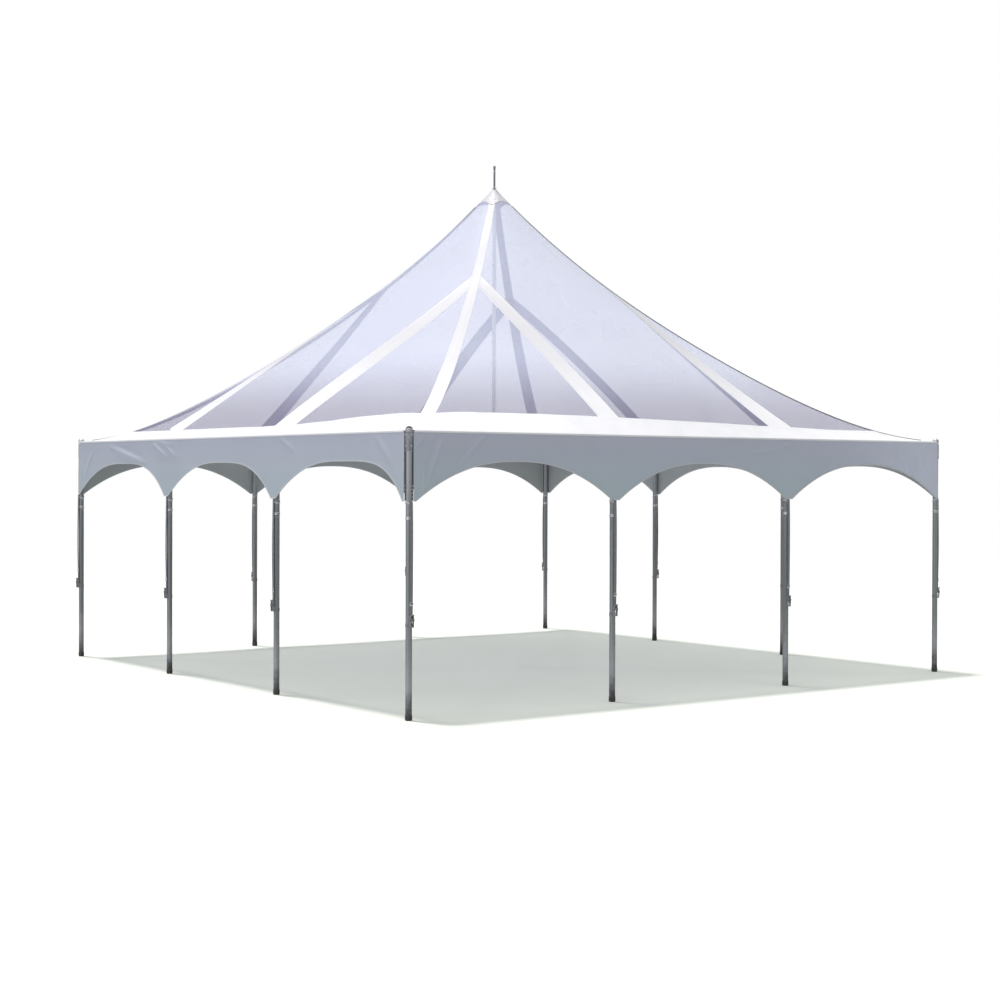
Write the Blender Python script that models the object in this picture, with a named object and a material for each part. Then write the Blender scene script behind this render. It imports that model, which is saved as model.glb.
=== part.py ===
"""High-peak frame marquee, 20 ft square, with twelve tube legs and an arched valance.

Metres, +Z up. The origin is on the ground below the peak. The front side faces -Y and
the left side faces -X. The frame is tube in cast fittings, a short mast on two crossed
cables lifts the peak, and the fabric is a tensioned roof of four panels with a cap.
"""

import math

import bmesh
import bpy
from mathutils import Matrix, Vector

# Plan and heights
HALF_SPAN = 3.048
BAYS = 3
BAY = 2 * HALF_SPAN / BAYS
EAVE_Z = 2.22
PEAK_Z = 4.75
PIN_TOP_Z = 4.97
SEAT_GAP = 0.0003

# Frame tube and its fittings
TUBE_R = 0.0254
TUBE_WALL = 0.0021
TUBE_SIDES = 16
SLEEVE_WALL = 0.0042
SLEEVE_REACH = 0.13
HUB_R = 0.036
KNOB_R = 0.030
KNOB_LIFT = 0.037
KNOB_BANDS = 6

# Legs and their moulded feet
COLLAR_Z = 1.548
COLLAR_R = 0.0287
COLLAR_H = 0.022
FOOT_H = 0.042
FOOT_R = 0.0285
FOOT_SOLE_R = 0.021
FOOT_CHAMFER = 0.010
FOOT_FLOOR_Z = 0.012

# Fabric
FABRIC_RISE = 0.007
FABRIC_WALL = 0.005
CAP_EDGE = 0.045
CAP_RINGS = 4
CAP_SPOKES = 32
SAG_SLOPE = 0.316
SAG_CURVE = 0.35
RIDGE_LIFT = 0.12
RIDGE_SHARPNESS = 4
ROOF_ROWS = 12
ROOF_ROW_POWER = 1.25
ROOF_COLUMNS = 14
CORNER_NOTCH = 0.044
FABRIC_SMOOTH = math.radians(60)

# Valance
VALANCE_POINT_Z = 1.675
ARCH_CROWN_Z = 1.985
ARCH_POWER = 2.3
ARCH_STEPS = 12
HEM_FLAT = 0.08
VALANCE_CORNER_GAP = 0.020

# Mast and crossed cables
MAST_R = 0.019
MAST_WALL = 0.0025
MAST_FOOT_Z = 2.030
MAST_FOOT_R = 0.045
MAST_FOOT_H = 0.045
HEAD_R = 0.075
HEAD_SKIRT = 0.060
HEAD_DEPTH = 0.020
HEAD_STEPS = 4
PIN_R = 0.010
PIN_TIP_R = 0.012
PIN_TIP_H = 0.027
CABLE_R = 0.004
CABLE_SIDES = 8
CABLE_RISE = 0.004
CABLE_FLAT = 0.054
LUG_R = 0.008
LUG_LENGTH = 0.12
LUG_NECK = 0.018

# Ratchet straps
STRAP_WIDTH = 0.028
STRAP_WALL = 0.003
RATCHET_Z = 0.760
RATCHET_HEIGHT = 0.098
RATCHET_DEPTH = 0.026

# Values that follow from the sizes above
SLEEVE_BORE = TUBE_R + SEAT_GAP
SLEEVE_R = SLEEVE_BORE + SLEEVE_WALL
TUBE_INNER = TUBE_R - TUBE_WALL
TUBE_Z = EAVE_Z - FABRIC_RISE - SEAT_GAP - SLEEVE_R
VALANCE_INNER = HALF_SPAN + SLEEVE_R + SEAT_GAP
FABRIC_HALF = VALANCE_INNER + FABRIC_WALL
VALANCE_TOP_Z = EAVE_Z - FABRIC_RISE - SEAT_GAP
LEG_TOP_Z = TUBE_Z - HUB_R - SEAT_GAP
LOWER_CABLE_Z = MAST_FOOT_Z + CABLE_R + SEAT_GAP
UPPER_CABLE_Z = LOWER_CABLE_Z + 2 * CABLE_R + SEAT_GAP

SIDES = {"front": 0.0, "right": 90.0, "back": 180.0, "left": 270.0}
CORNERS = {"front_left": (-1, -1), "front_right": (1, -1),
           "back_right": (1, 1), "back_left": (-1, 1)}
CORNER_TURNS = dict(zip(CORNERS, SIDES.values()))
MATERIALS = {}


def material(name, colour, roughness, metallic):
    """Return the named Principled material, made on first use."""
    if name not in MATERIALS:
        made = bpy.data.materials.new(name)
        made.use_nodes = True
        shader = made.node_tree.nodes["Principled BSDF"]
        shader.inputs["Base Color"].default_value = (*colour, 1.0)
        shader.inputs["Roughness"].default_value = roughness
        shader.inputs["Metallic"].default_value = metallic
        MATERIALS[name] = made
    return MATERIALS[name]


def leg_tube():
    return material("leg_tube", (0.27, 0.28, 0.28), 0.42, 0.85)


def cast_fitting():
    return material("cast_fitting", (0.52, 0.53, 0.55), 0.38, 0.9)


def clear_vinyl():
    return material("clear_vinyl", (0.72, 0.76, 0.90), 0.25, 0.0)


def white_vinyl():
    return material("white_vinyl", (0.90, 0.90, 0.90), 0.45, 0.0)


def valance_vinyl():
    return material("valance_vinyl", (0.62, 0.65, 0.70), 0.50, 0.0)


def webbing():
    return material("webbing", (0.35, 0.36, 0.37), 0.80, 0.0)


def wire_rope():
    return material("wire_rope", (0.60, 0.60, 0.62), 0.35, 0.95)


def white_tube():
    return material("white_tube", (0.85, 0.86, 0.88), 0.35, 0.1)


def link(made):
    """Add an object to the scene and return it."""
    bpy.context.scene.collection.objects.link(made)
    return made


def mesh_object(name, bm, finish, smooth_angle=math.radians(35)):
    """Turn a bmesh into a linked, smooth-shaded object with one material."""
    bmesh.ops.recalc_face_normals(bm, faces=bm.faces)
    mesh = bpy.data.meshes.new(name)
    bm.to_mesh(mesh)
    bm.free()
    mesh.shade_smooth()
    mesh.set_sharp_from_angle(angle=smooth_angle)
    mesh.materials.append(finish)
    return link(bpy.data.objects.new(name, mesh))


def quarter_turn(degrees):
    """Return the turn about +Z that carries the front side to another side."""
    return Matrix.Rotation(math.radians(degrees), 4, "Z")


def along(start, end):
    """Return the matrix that lays +Z from start towards end."""
    start = Vector(start)
    turn = (Vector(end) - start).to_track_quat("Z", "Y").to_matrix().to_4x4()
    return Matrix.Translation(start) @ turn


def turn_profile(bm, profile, sides=TUBE_SIDES, place=Matrix.Identity(4)):
    """Spin a (radius, height) outline about +Z, closed or ending on the axis."""
    first = len(bm.verts)
    line = [bm.verts.new((radius, 0.0, height)) for radius, height in profile]
    pairs = list(zip(line, line[1:]))
    if profile[0][0] > 0:
        pairs.append((line[-1], line[0]))
    edges = [bm.edges.new(pair) for pair in pairs]
    bmesh.ops.spin(bm, geom=line + edges, cent=(0, 0, 0), axis=(0, 0, 1),
                   angle=2 * math.pi, steps=sides, use_merge=True)
    bm.verts.ensure_lookup_table()
    bmesh.ops.remove_doubles(bm, verts=bm.verts[first:], dist=1e-6)
    bm.verts.ensure_lookup_table()
    bmesh.ops.transform(bm, matrix=place, verts=bm.verts[first:])


def block(bm, low, high):
    """Add a box between two corners."""
    low, high = Vector(low), Vector(high)
    size = high - low
    place = Matrix.Translation((low + high) / 2) @ Matrix.Diagonal((*size, 1.0))
    bmesh.ops.create_cube(bm, size=1.0, matrix=place)


def sleeve(name, centre, direction, floor=0.0):
    """A cup from near the hub's centre to its open mouth on a tube."""
    profile = [(0.0, floor), (SLEEVE_R, floor), (SLEEVE_R, SLEEVE_REACH),
               (SLEEVE_BORE, SLEEVE_REACH), (SLEEVE_BORE, HUB_R), (0.0, HUB_R)]
    bm = bmesh.new()
    centre = Vector(centre)
    turn_profile(bm, profile, place=along(centre, centre + Vector(direction)))
    return mesh_object(name, bm, cast_fitting())


def combine(target, tools, operation):
    """Join tools to the target, or cut them out of it, and hide them as cutters."""
    for tool in tools:
        step = target.modifiers.new(tool.name, "BOOLEAN")
        step.operation = operation
        step.object = tool
        tool.hide_render = True
        tool.display_type = "WIRE"
    return target


def leg_line(index):
    """Distance along a side from its middle to leg 0 to 3."""
    return -HALF_SPAN + index * BAY


def leg_places():
    """Name, plan position and turn of the twelve legs."""
    places = []
    for name, (x, y) in CORNERS.items():
        places.append(("corner_" + name, x * HALF_SPAN, y * HALF_SPAN,
                       CORNER_TURNS[name]))
    for side, degrees in SIDES.items():
        for index in (1, 2):
            point = quarter_turn(degrees) @ Vector((leg_line(index), -HALF_SPAN, 0))
            places.append(("%s_%d" % (side, index), point.x, point.y, degrees))
    return places


def copy_to_legs(pattern, prefix):
    """Put a copy of the pattern at each leg, and drop the pattern."""
    for name, x, y, degrees in leg_places():
        copy = link(bpy.data.objects.new(prefix + name, pattern.data))
        copy.location = (x, y, 0)
        copy.rotation_euler.z = math.radians(degrees)
    bpy.data.objects.remove(pattern, do_unlink=True)


def make_legs():
    """Twelve tube legs, each with its sliding joint's collar and its moulded foot."""
    low, high = COLLAR_Z - COLLAR_H / 2, COLLAR_Z + COLLAR_H / 2
    profile = [(0.0, 0.0), (FOOT_SOLE_R, 0.0), (FOOT_R, FOOT_CHAMFER), (FOOT_R, FOOT_H),
               (TUBE_R, FOOT_H), (TUBE_R, low), (COLLAR_R, low), (COLLAR_R, high),
               (TUBE_R, high), (TUBE_R, LEG_TOP_Z), (TUBE_INNER, LEG_TOP_Z),
               (TUBE_INNER, FOOT_FLOOR_Z), (0.0, FOOT_FLOOR_Z)]
    bm = bmesh.new()
    turn_profile(bm, profile)
    copy_to_legs(mesh_object("leg_pattern", bm, leg_tube()), "leg_")


def make_ratchet_straps():
    """Webbing down each leg's outer face from the valance's point to its ratchet."""
    strap_face = COLLAR_R + SEAT_GAP
    strap_back = strap_face + STRAP_WALL
    ratchet_back = TUBE_R + SEAT_GAP
    low, high = RATCHET_Z - RATCHET_HEIGHT / 2, RATCHET_Z + RATCHET_HEIGHT / 2
    top = VALANCE_POINT_Z - SEAT_GAP
    bm = bmesh.new()
    outline = [(-ratchet_back, low), (-ratchet_back, high), (-strap_face, high),
               (-strap_face, top), (-strap_back, top), (-strap_back, high),
               (-ratchet_back - RATCHET_DEPTH, high),
               (-ratchet_back - RATCHET_DEPTH, low)]
    loop = [bm.verts.new((-STRAP_WIDTH / 2, y, z)) for y, z in outline]
    side = bm.faces.new(loop)
    made = bmesh.ops.extrude_face_region(bm, geom=[side])["geom"]
    far = [v for v in made if isinstance(v, bmesh.types.BMVert)]
    bmesh.ops.translate(bm, verts=far, vec=(STRAP_WIDTH, 0, 0))
    copy_to_legs(mesh_object("strap_pattern", bm, webbing()), "ratchet_strap_")


def make_eave_rail(side, degrees):
    """The rail of one side: tube in line through two tees, open at both ends."""
    end = HALF_SPAN - HUB_R - SEAT_GAP
    profile = [(TUBE_R, -end)]
    for index in (1, 2):
        near, far = leg_line(index) - SLEEVE_REACH, leg_line(index) + SLEEVE_REACH
        profile += [(TUBE_R, near), (SLEEVE_R, near), (SLEEVE_R, far), (TUBE_R, far)]
    profile += [(TUBE_R, end), (TUBE_INNER, end), (TUBE_INNER, -end)]
    middle = Vector((0, -HALF_SPAN, TUBE_Z))
    bm = bmesh.new()
    turn_profile(bm, profile, place=along(middle, middle + Vector((1, 0, 0))))
    rail = mesh_object("eave_rail_" + side, bm, leg_tube())
    rail.data.transform(quarter_turn(degrees))
    tees = []
    for index in (1, 2):
        centre = quarter_turn(degrees) @ Vector((leg_line(index), -HALF_SPAN, TUBE_Z))
        tees.append(sleeve("tee_%s_%d" % (side, index), centre, (0, 0, -1),
                           TUBE_R - TUBE_WALL / 2))
    return combine(rail, tees, "UNION")


def make_corner_fitting(name, x_sign, y_sign):
    """Three-way casting: one sleeve down, one along each rail, a round knob on top."""
    centre = Vector((x_sign * HALF_SPAN, y_sign * HALF_SPAN, TUBE_Z))
    fitting = sleeve("corner_fitting_" + name, centre, (0, 0, -1))
    arms = [sleeve("arm_x_" + name, centre, (-x_sign, 0, 0)),
            sleeve("arm_y_" + name, centre, (0, -y_sign, 0))]
    bm = bmesh.new()
    lift = Matrix.Translation(centre + Vector((0, 0, KNOB_LIFT)))
    bmesh.ops.create_uvsphere(bm, u_segments=TUBE_SIDES, v_segments=KNOB_BANDS,
                              radius=KNOB_R, matrix=lift)
    arms.append(mesh_object("knob_" + name, bm, cast_fitting()))
    return combine(fitting, arms, "UNION")


def roof_height(x, y):
    """Height of the fabric's outer face over a point of the plan."""
    u = min(abs(x) / FABRIC_HALF, 1.0)
    v = min(abs(y) / FABRIC_HALF, 1.0)
    q = math.sqrt(u * u + v * v - u * u * v * v)
    sag = (1 - q) * (1 - SAG_SLOPE * q + SAG_CURVE * q * q)
    ridge = (min(u, v) / max(u, v)) ** RIDGE_SHARPNESS if max(u, v) > 0 else 0.0
    return EAVE_Z + (PEAK_Z - EAVE_Z) * sag + RIDGE_LIFT * ridge * q * q * (1 - q)


def thicken_down(bm, faces):
    """Give the skin its thickness, straight down, so that neighbours never cross."""
    under = bmesh.ops.extrude_face_region(bm, geom=faces)["geom"]
    lower = [v for v in under if isinstance(v, bmesh.types.BMVert)]
    bmesh.ops.translate(bm, verts=lower, vec=(0, 0, -FABRIC_RISE))


def corner_notches():
    """The cutter that opens the fabric over the four corner knobs."""
    near, far = HALF_SPAN - CORNER_NOTCH, FABRIC_HALF + CORNER_NOTCH
    bm = bmesh.new()
    for x, y in CORNERS.values():
        low = (min(x * near, x * far), min(y * near, y * far), EAVE_Z - CORNER_NOTCH)
        high = (max(x * near, x * far), max(y * near, y * far), EAVE_Z + CORNER_NOTCH)
        block(bm, low, high)
    return mesh_object("corner_notches", bm, white_vinyl())


def make_roof_panel(side, degrees, notches):
    """One quarter of the roof between two hips, from the cap's edge to the eave."""
    bm = bmesh.new()
    rows = []
    for j in range(ROOF_ROWS + 1):
        t = CAP_EDGE + (1 - CAP_EDGE) * (j / ROOF_ROWS) ** ROOF_ROW_POWER
        reach = t * FABRIC_HALF + (SEAT_GAP if j == 0 else 0.0)
        row = []
        for k in range(ROOF_COLUMNS + 1):
            x = (reach - SEAT_GAP) * (2 * k / ROOF_COLUMNS - 1)
            row.append(bm.verts.new((x, -reach, roof_height(x, reach))))
        rows.append(row)
    faces = []
    for near, far in zip(rows, rows[1:]):
        for k in range(ROOF_COLUMNS):
            faces.append(bm.faces.new((near[k], near[k + 1], far[k + 1], far[k])))
    thicken_down(bm, faces)
    panel = mesh_object("roof_panel_" + side, bm, clear_vinyl(), FABRIC_SMOOTH)
    panel.data.transform(quarter_turn(degrees))
    return combine(panel, [notches], "DIFFERENCE")


def make_peak_cap():
    """The reinforcing cap round the pin, square outside and round inside."""
    hole = PIN_R + SEAT_GAP
    bm = bmesh.new()
    rings = []
    for ring in range(CAP_RINGS + 1):
        row = []
        for k in range(CAP_SPOKES):
            angle = 2 * math.pi * k / CAP_SPOKES
            c, s = math.cos(angle), math.sin(angle)
            edge = CAP_EDGE * FABRIC_HALF / max(abs(c), abs(s))
            radius = hole + (edge - hole) * ring / CAP_RINGS
            x, y = radius * c, radius * s
            row.append(bm.verts.new((x, y, roof_height(x, y))))
        rings.append(row)
    faces = []
    for inner, outer in zip(rings, rings[1:]):
        for k in range(CAP_SPOKES):
            n = (k + 1) % CAP_SPOKES
            faces.append(bm.faces.new((inner[k], outer[k], outer[n], inner[n])))
    thicken_down(bm, faces)
    return mesh_object("peak_cap", bm, white_vinyl(), FABRIC_SMOOTH)


def arch_points(start, end):
    """Points of one arch of the valance's lower edge, from left to right."""
    middle, half = (start + end) / 2, (end - start) / 2
    drop = ARCH_CROWN_Z - VALANCE_POINT_Z
    points = []
    for k in range(ARCH_STEPS + 1):
        s = -math.cos(math.pi * k / ARCH_STEPS)
        points.append((middle + half * s, ARCH_CROWN_Z - drop * abs(s) ** ARCH_POWER))
    return points


def make_valance(side, degrees):
    """The skirt of one side: straight on top, three arches below, points at the legs."""
    end = HALF_SPAN - VALANCE_CORNER_GAP
    outline = [(-end, VALANCE_TOP_Z), (-end, VALANCE_POINT_Z)]
    for bay in range(BAYS):
        left = leg_line(bay) + HEM_FLAT / 2
        right = leg_line(bay + 1) - HEM_FLAT / 2
        outline += arch_points(left, right)
    outline += [(end, VALANCE_POINT_Z), (end, VALANCE_TOP_Z)]
    bm = bmesh.new()
    face = bm.faces.new([bm.verts.new((x, -VALANCE_INNER, z)) for x, z in outline])
    made = bmesh.ops.extrude_face_region(bm, geom=[face])["geom"]
    outer = [v for v in made if isinstance(v, bmesh.types.BMVert)]
    bmesh.ops.translate(bm, verts=outer, vec=(0, -FABRIC_WALL, 0))
    valance = mesh_object("valance_" + side, bm, valance_vinyl())
    valance.data.transform(quarter_turn(degrees))
    return valance


def head_seat_z():
    """Height of the mast's upper end, inside the head."""
    return roof_height(HEAD_R, 0) - FABRIC_RISE - HEAD_DEPTH


def make_mast_head():
    """The cone that bears on the cap, with a skirt over the mast and the pin on top."""
    cone = []
    for k in range(HEAD_STEPS + 1):
        radius = HEAD_R + (PIN_R - HEAD_R) * k / HEAD_STEPS
        cone.append((radius, roof_height(radius, 0) - FABRIC_RISE - SEAT_GAP))
    seat = head_seat_z()
    bore = MAST_R + SEAT_GAP
    skirt = bore + SLEEVE_WALL
    profile = [(0.0, seat), (bore, seat), (bore, seat - HEAD_SKIRT),
               (skirt, seat - HEAD_SKIRT), (skirt, seat),
               (HEAD_R, cone[0][1] - HEAD_DEPTH / 2)]
    profile += cone
    profile += [(PIN_R, PIN_TOP_Z - PIN_TIP_H), (PIN_TIP_R, PIN_TOP_Z - PIN_TIP_H),
                (PIN_TIP_R, PIN_TOP_Z), (0.0, PIN_TOP_Z)]
    bm = bmesh.new()
    turn_profile(bm, profile, CAP_SPOKES)
    return mesh_object("mast_head", bm, cast_fitting())


def make_mast():
    """The short mast, hollow above its cast foot, slotted to sit on both cables."""
    low, high = MAST_FOOT_Z, MAST_FOOT_Z + MAST_FOOT_H
    top = head_seat_z() - SEAT_GAP
    profile = [(0.0, low), (MAST_FOOT_R, low), (MAST_FOOT_R, high), (MAST_R, high),
               (MAST_R, top), (MAST_R - MAST_WALL, top), (MAST_R - MAST_WALL, high),
               (0.0, high)]
    bm = bmesh.new()
    turn_profile(bm, profile)
    mast = mesh_object("mast", bm, white_tube())
    slots = []
    for name, z, degrees in (("lower", LOWER_CABLE_Z, 45), ("upper", UPPER_CABLE_Z, 135)):
        half = CABLE_R + SEAT_GAP
        bm = bmesh.new()
        block(bm, (-2 * MAST_FOOT_R, -half, low - CABLE_R),
              (2 * MAST_FOOT_R, half, z + CABLE_R + SEAT_GAP))
        slot = mesh_object("slot_" + name, bm, white_tube())
        slot.data.transform(quarter_turn(degrees))
        slots.append(slot)
    return combine(mast, slots, "DIFFERENCE")


def make_cross_cable(name, degrees, middle_z):
    """A taut cable between two opposite corner fittings, under the mast's foot."""
    reach = HALF_SPAN * math.sqrt(2)
    end = reach - (SLEEVE_R + SEAT_GAP) * math.sqrt(2) - LUG_R
    stations = []
    for run, radius in ((end, LUG_R), (end - LUG_LENGTH, LUG_R),
                        (end - LUG_LENGTH - LUG_NECK, CABLE_R), (CABLE_FLAT, CABLE_R)):
        rise = (TUBE_Z - CABLE_RISE - middle_z) * (run - CABLE_FLAT) / (end - CABLE_FLAT)
        stations.append((run, middle_z + rise, radius))
    stations += [(-run, z, radius) for run, z, radius in reversed(stations)]
    bm = bmesh.new()
    rings = []
    for run, z, radius in stations:
        ring = []
        for k in range(CABLE_SIDES):
            angle = 2 * math.pi * (k + 0.5) / CABLE_SIDES
            ring.append(bm.verts.new((run, radius * math.cos(angle),
                                      z + radius * math.sin(angle))))
        rings.append(ring)
    for near, far in zip(rings, rings[1:]):
        for k in range(CABLE_SIDES):
            n = (k + 1) % CABLE_SIDES
            bm.faces.new((near[k], near[n], far[n], far[k]))
    bm.faces.new(rings[0])
    bm.faces.new(rings[-1])
    cable = mesh_object(name, bm, wire_rope())
    cable.data.transform(quarter_turn(degrees))
    return cable


def main():
    for old in list(bpy.data.objects):
        bpy.data.objects.remove(old, do_unlink=True)
    make_legs()
    make_ratchet_straps()
    notches = corner_notches()
    for side, degrees in SIDES.items():
        make_eave_rail(side, degrees)
        make_roof_panel(side, degrees, notches)
        make_valance(side, degrees)
    for name, (x_sign, y_sign) in CORNERS.items():
        make_corner_fitting(name, x_sign, y_sign)
    make_peak_cap()
    make_mast()
    make_mast_head()
    make_cross_cable("cross_cable_lower", 45, LOWER_CABLE_Z)
    make_cross_cable("cross_cable_upper", 135, UPPER_CABLE_Z)


main()
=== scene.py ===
"""Looks of the square high-peak frame marquee, dressed round its packed construction.

Metres, +Z up. The front side faces -Y and the left side faces -X. Each sub-assembly is a
class: it holds its own sizes, builds its meshes and gives them their finishes. The roof is
one stretched sheet of clear vinyl with white bands welded on, the four valances are sheets
that hang from the eave, and the legs, castings, straps and cables are built as real forms.
"""

import sys

import logging
import math
import random
from dataclasses import dataclass, field
from enum import Enum
from typing import Callable, Iterable, Optional, Sequence

import bmesh
import bpy
import numpy as np
from mathutils import Matrix, Vector, noise


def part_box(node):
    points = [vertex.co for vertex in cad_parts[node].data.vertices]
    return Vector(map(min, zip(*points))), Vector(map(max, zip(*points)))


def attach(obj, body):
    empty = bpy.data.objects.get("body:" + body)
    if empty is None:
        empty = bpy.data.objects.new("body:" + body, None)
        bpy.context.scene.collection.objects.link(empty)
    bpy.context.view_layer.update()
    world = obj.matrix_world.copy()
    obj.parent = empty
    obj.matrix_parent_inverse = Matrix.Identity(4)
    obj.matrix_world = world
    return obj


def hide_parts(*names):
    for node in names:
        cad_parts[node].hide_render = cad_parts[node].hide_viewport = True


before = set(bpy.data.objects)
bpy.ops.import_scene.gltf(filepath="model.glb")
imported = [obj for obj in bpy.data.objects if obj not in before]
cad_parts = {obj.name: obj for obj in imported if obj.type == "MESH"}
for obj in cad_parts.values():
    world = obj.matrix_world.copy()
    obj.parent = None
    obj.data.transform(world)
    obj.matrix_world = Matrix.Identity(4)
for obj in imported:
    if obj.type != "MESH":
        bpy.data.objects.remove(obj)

Point = tuple[float, float]
Colour = tuple[float, float, float]
LOG = logging.getLogger("marquee")
BODY = "root"


class Side(Enum):
    """The four sides, each with the turn about +Z that carries the front to it."""

    FRONT = 0
    RIGHT = 90
    BACK = 180
    LEFT = 270

    @property
    def label(self) -> str:
        """The side's name as it stands in node names."""
        return self.name.lower()

    @property
    def turn(self) -> Matrix:
        """The rotation that carries the front side to this one."""
        return Matrix.Rotation(math.radians(self.value), 4, "Z")


class Corner(Enum):
    """The four corners, each with the side whose first leg it is and its plan signs."""

    FRONT_LEFT = (Side.FRONT, -1, -1)
    FRONT_RIGHT = (Side.RIGHT, 1, -1)
    BACK_RIGHT = (Side.BACK, 1, 1)
    BACK_LEFT = (Side.LEFT, -1, 1)

    @property
    def label(self) -> str:
        """The corner's name as it stands in node names."""
        return self.name.lower()

    @property
    def side(self) -> Side:
        """The side whose turn carries the front left corner to this one."""
        return self.value[0]

    @property
    def signs(self) -> tuple[int, int]:
        """The signs of x and y at this corner."""
        return self.value[1], self.value[2]


@dataclass(frozen=True)
class Plan:
    """Sizes of the construction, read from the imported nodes."""

    half_span: float
    fabric_half: float
    eave_z: float
    fabric_rise: float
    tube_radius: float
    sleeve_radius: float
    tube_z: float
    pin_top_z: float
    valance_point_z: float
    valance_top_z: float
    valance_inner: float
    leg_top_z: float

    @staticmethod
    def read() -> "Plan":
        """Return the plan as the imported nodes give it."""
        leg_low, leg_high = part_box("leg_front_1")
        strap_low, strap_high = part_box("ratchet_strap_front_1")
        rail_low, rail_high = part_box("eave_rail_front")
        roof_low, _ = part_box("roof_panel_front")
        skirt_low, skirt_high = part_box("valance_front")
        head_low, head_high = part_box("mast_head")
        sleeve_radius = (rail_high.y - rail_low.y) / 2
        rise = 0.007
        return Plan(
            half_span=-(rail_low.y + rail_high.y) / 2,
            fabric_half=-roof_low.y,
            eave_z=roof_low.z + rise,
            fabric_rise=rise,
            tube_radius=0.0254,
            sleeve_radius=sleeve_radius,
            tube_z=rail_high.z - sleeve_radius,
            pin_top_z=head_high.z,
            valance_point_z=skirt_low.z,
            valance_top_z=skirt_high.z,
            valance_inner=-skirt_high.y,
            leg_top_z=leg_high.z,
        )

    @property
    def bay(self) -> float:
        """Distance between neighbouring legs."""
        return 2 * self.half_span / 3

    def leg_line(self, index: int) -> float:
        """Distance along a side from its middle to leg 0 to 3."""
        return -self.half_span + index * self.bay

    def leg_stations(self) -> list[tuple[str, Matrix]]:
        """Name and placing of the twelve legs, outer face towards -Y."""
        stations = []
        for corner in Corner:
            x, y = corner.signs
            place = Matrix.Translation((x * self.half_span, y * self.half_span, 0))
            stations.append(("corner_" + corner.label, place @ corner.side.turn))
        for side in Side:
            for index in (1, 2):
                place = side.turn @ Matrix.Translation((self.leg_line(index), -self.half_span, 0))
                stations.append(("%s_%d" % (side.label, index), place))
        return stations


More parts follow.
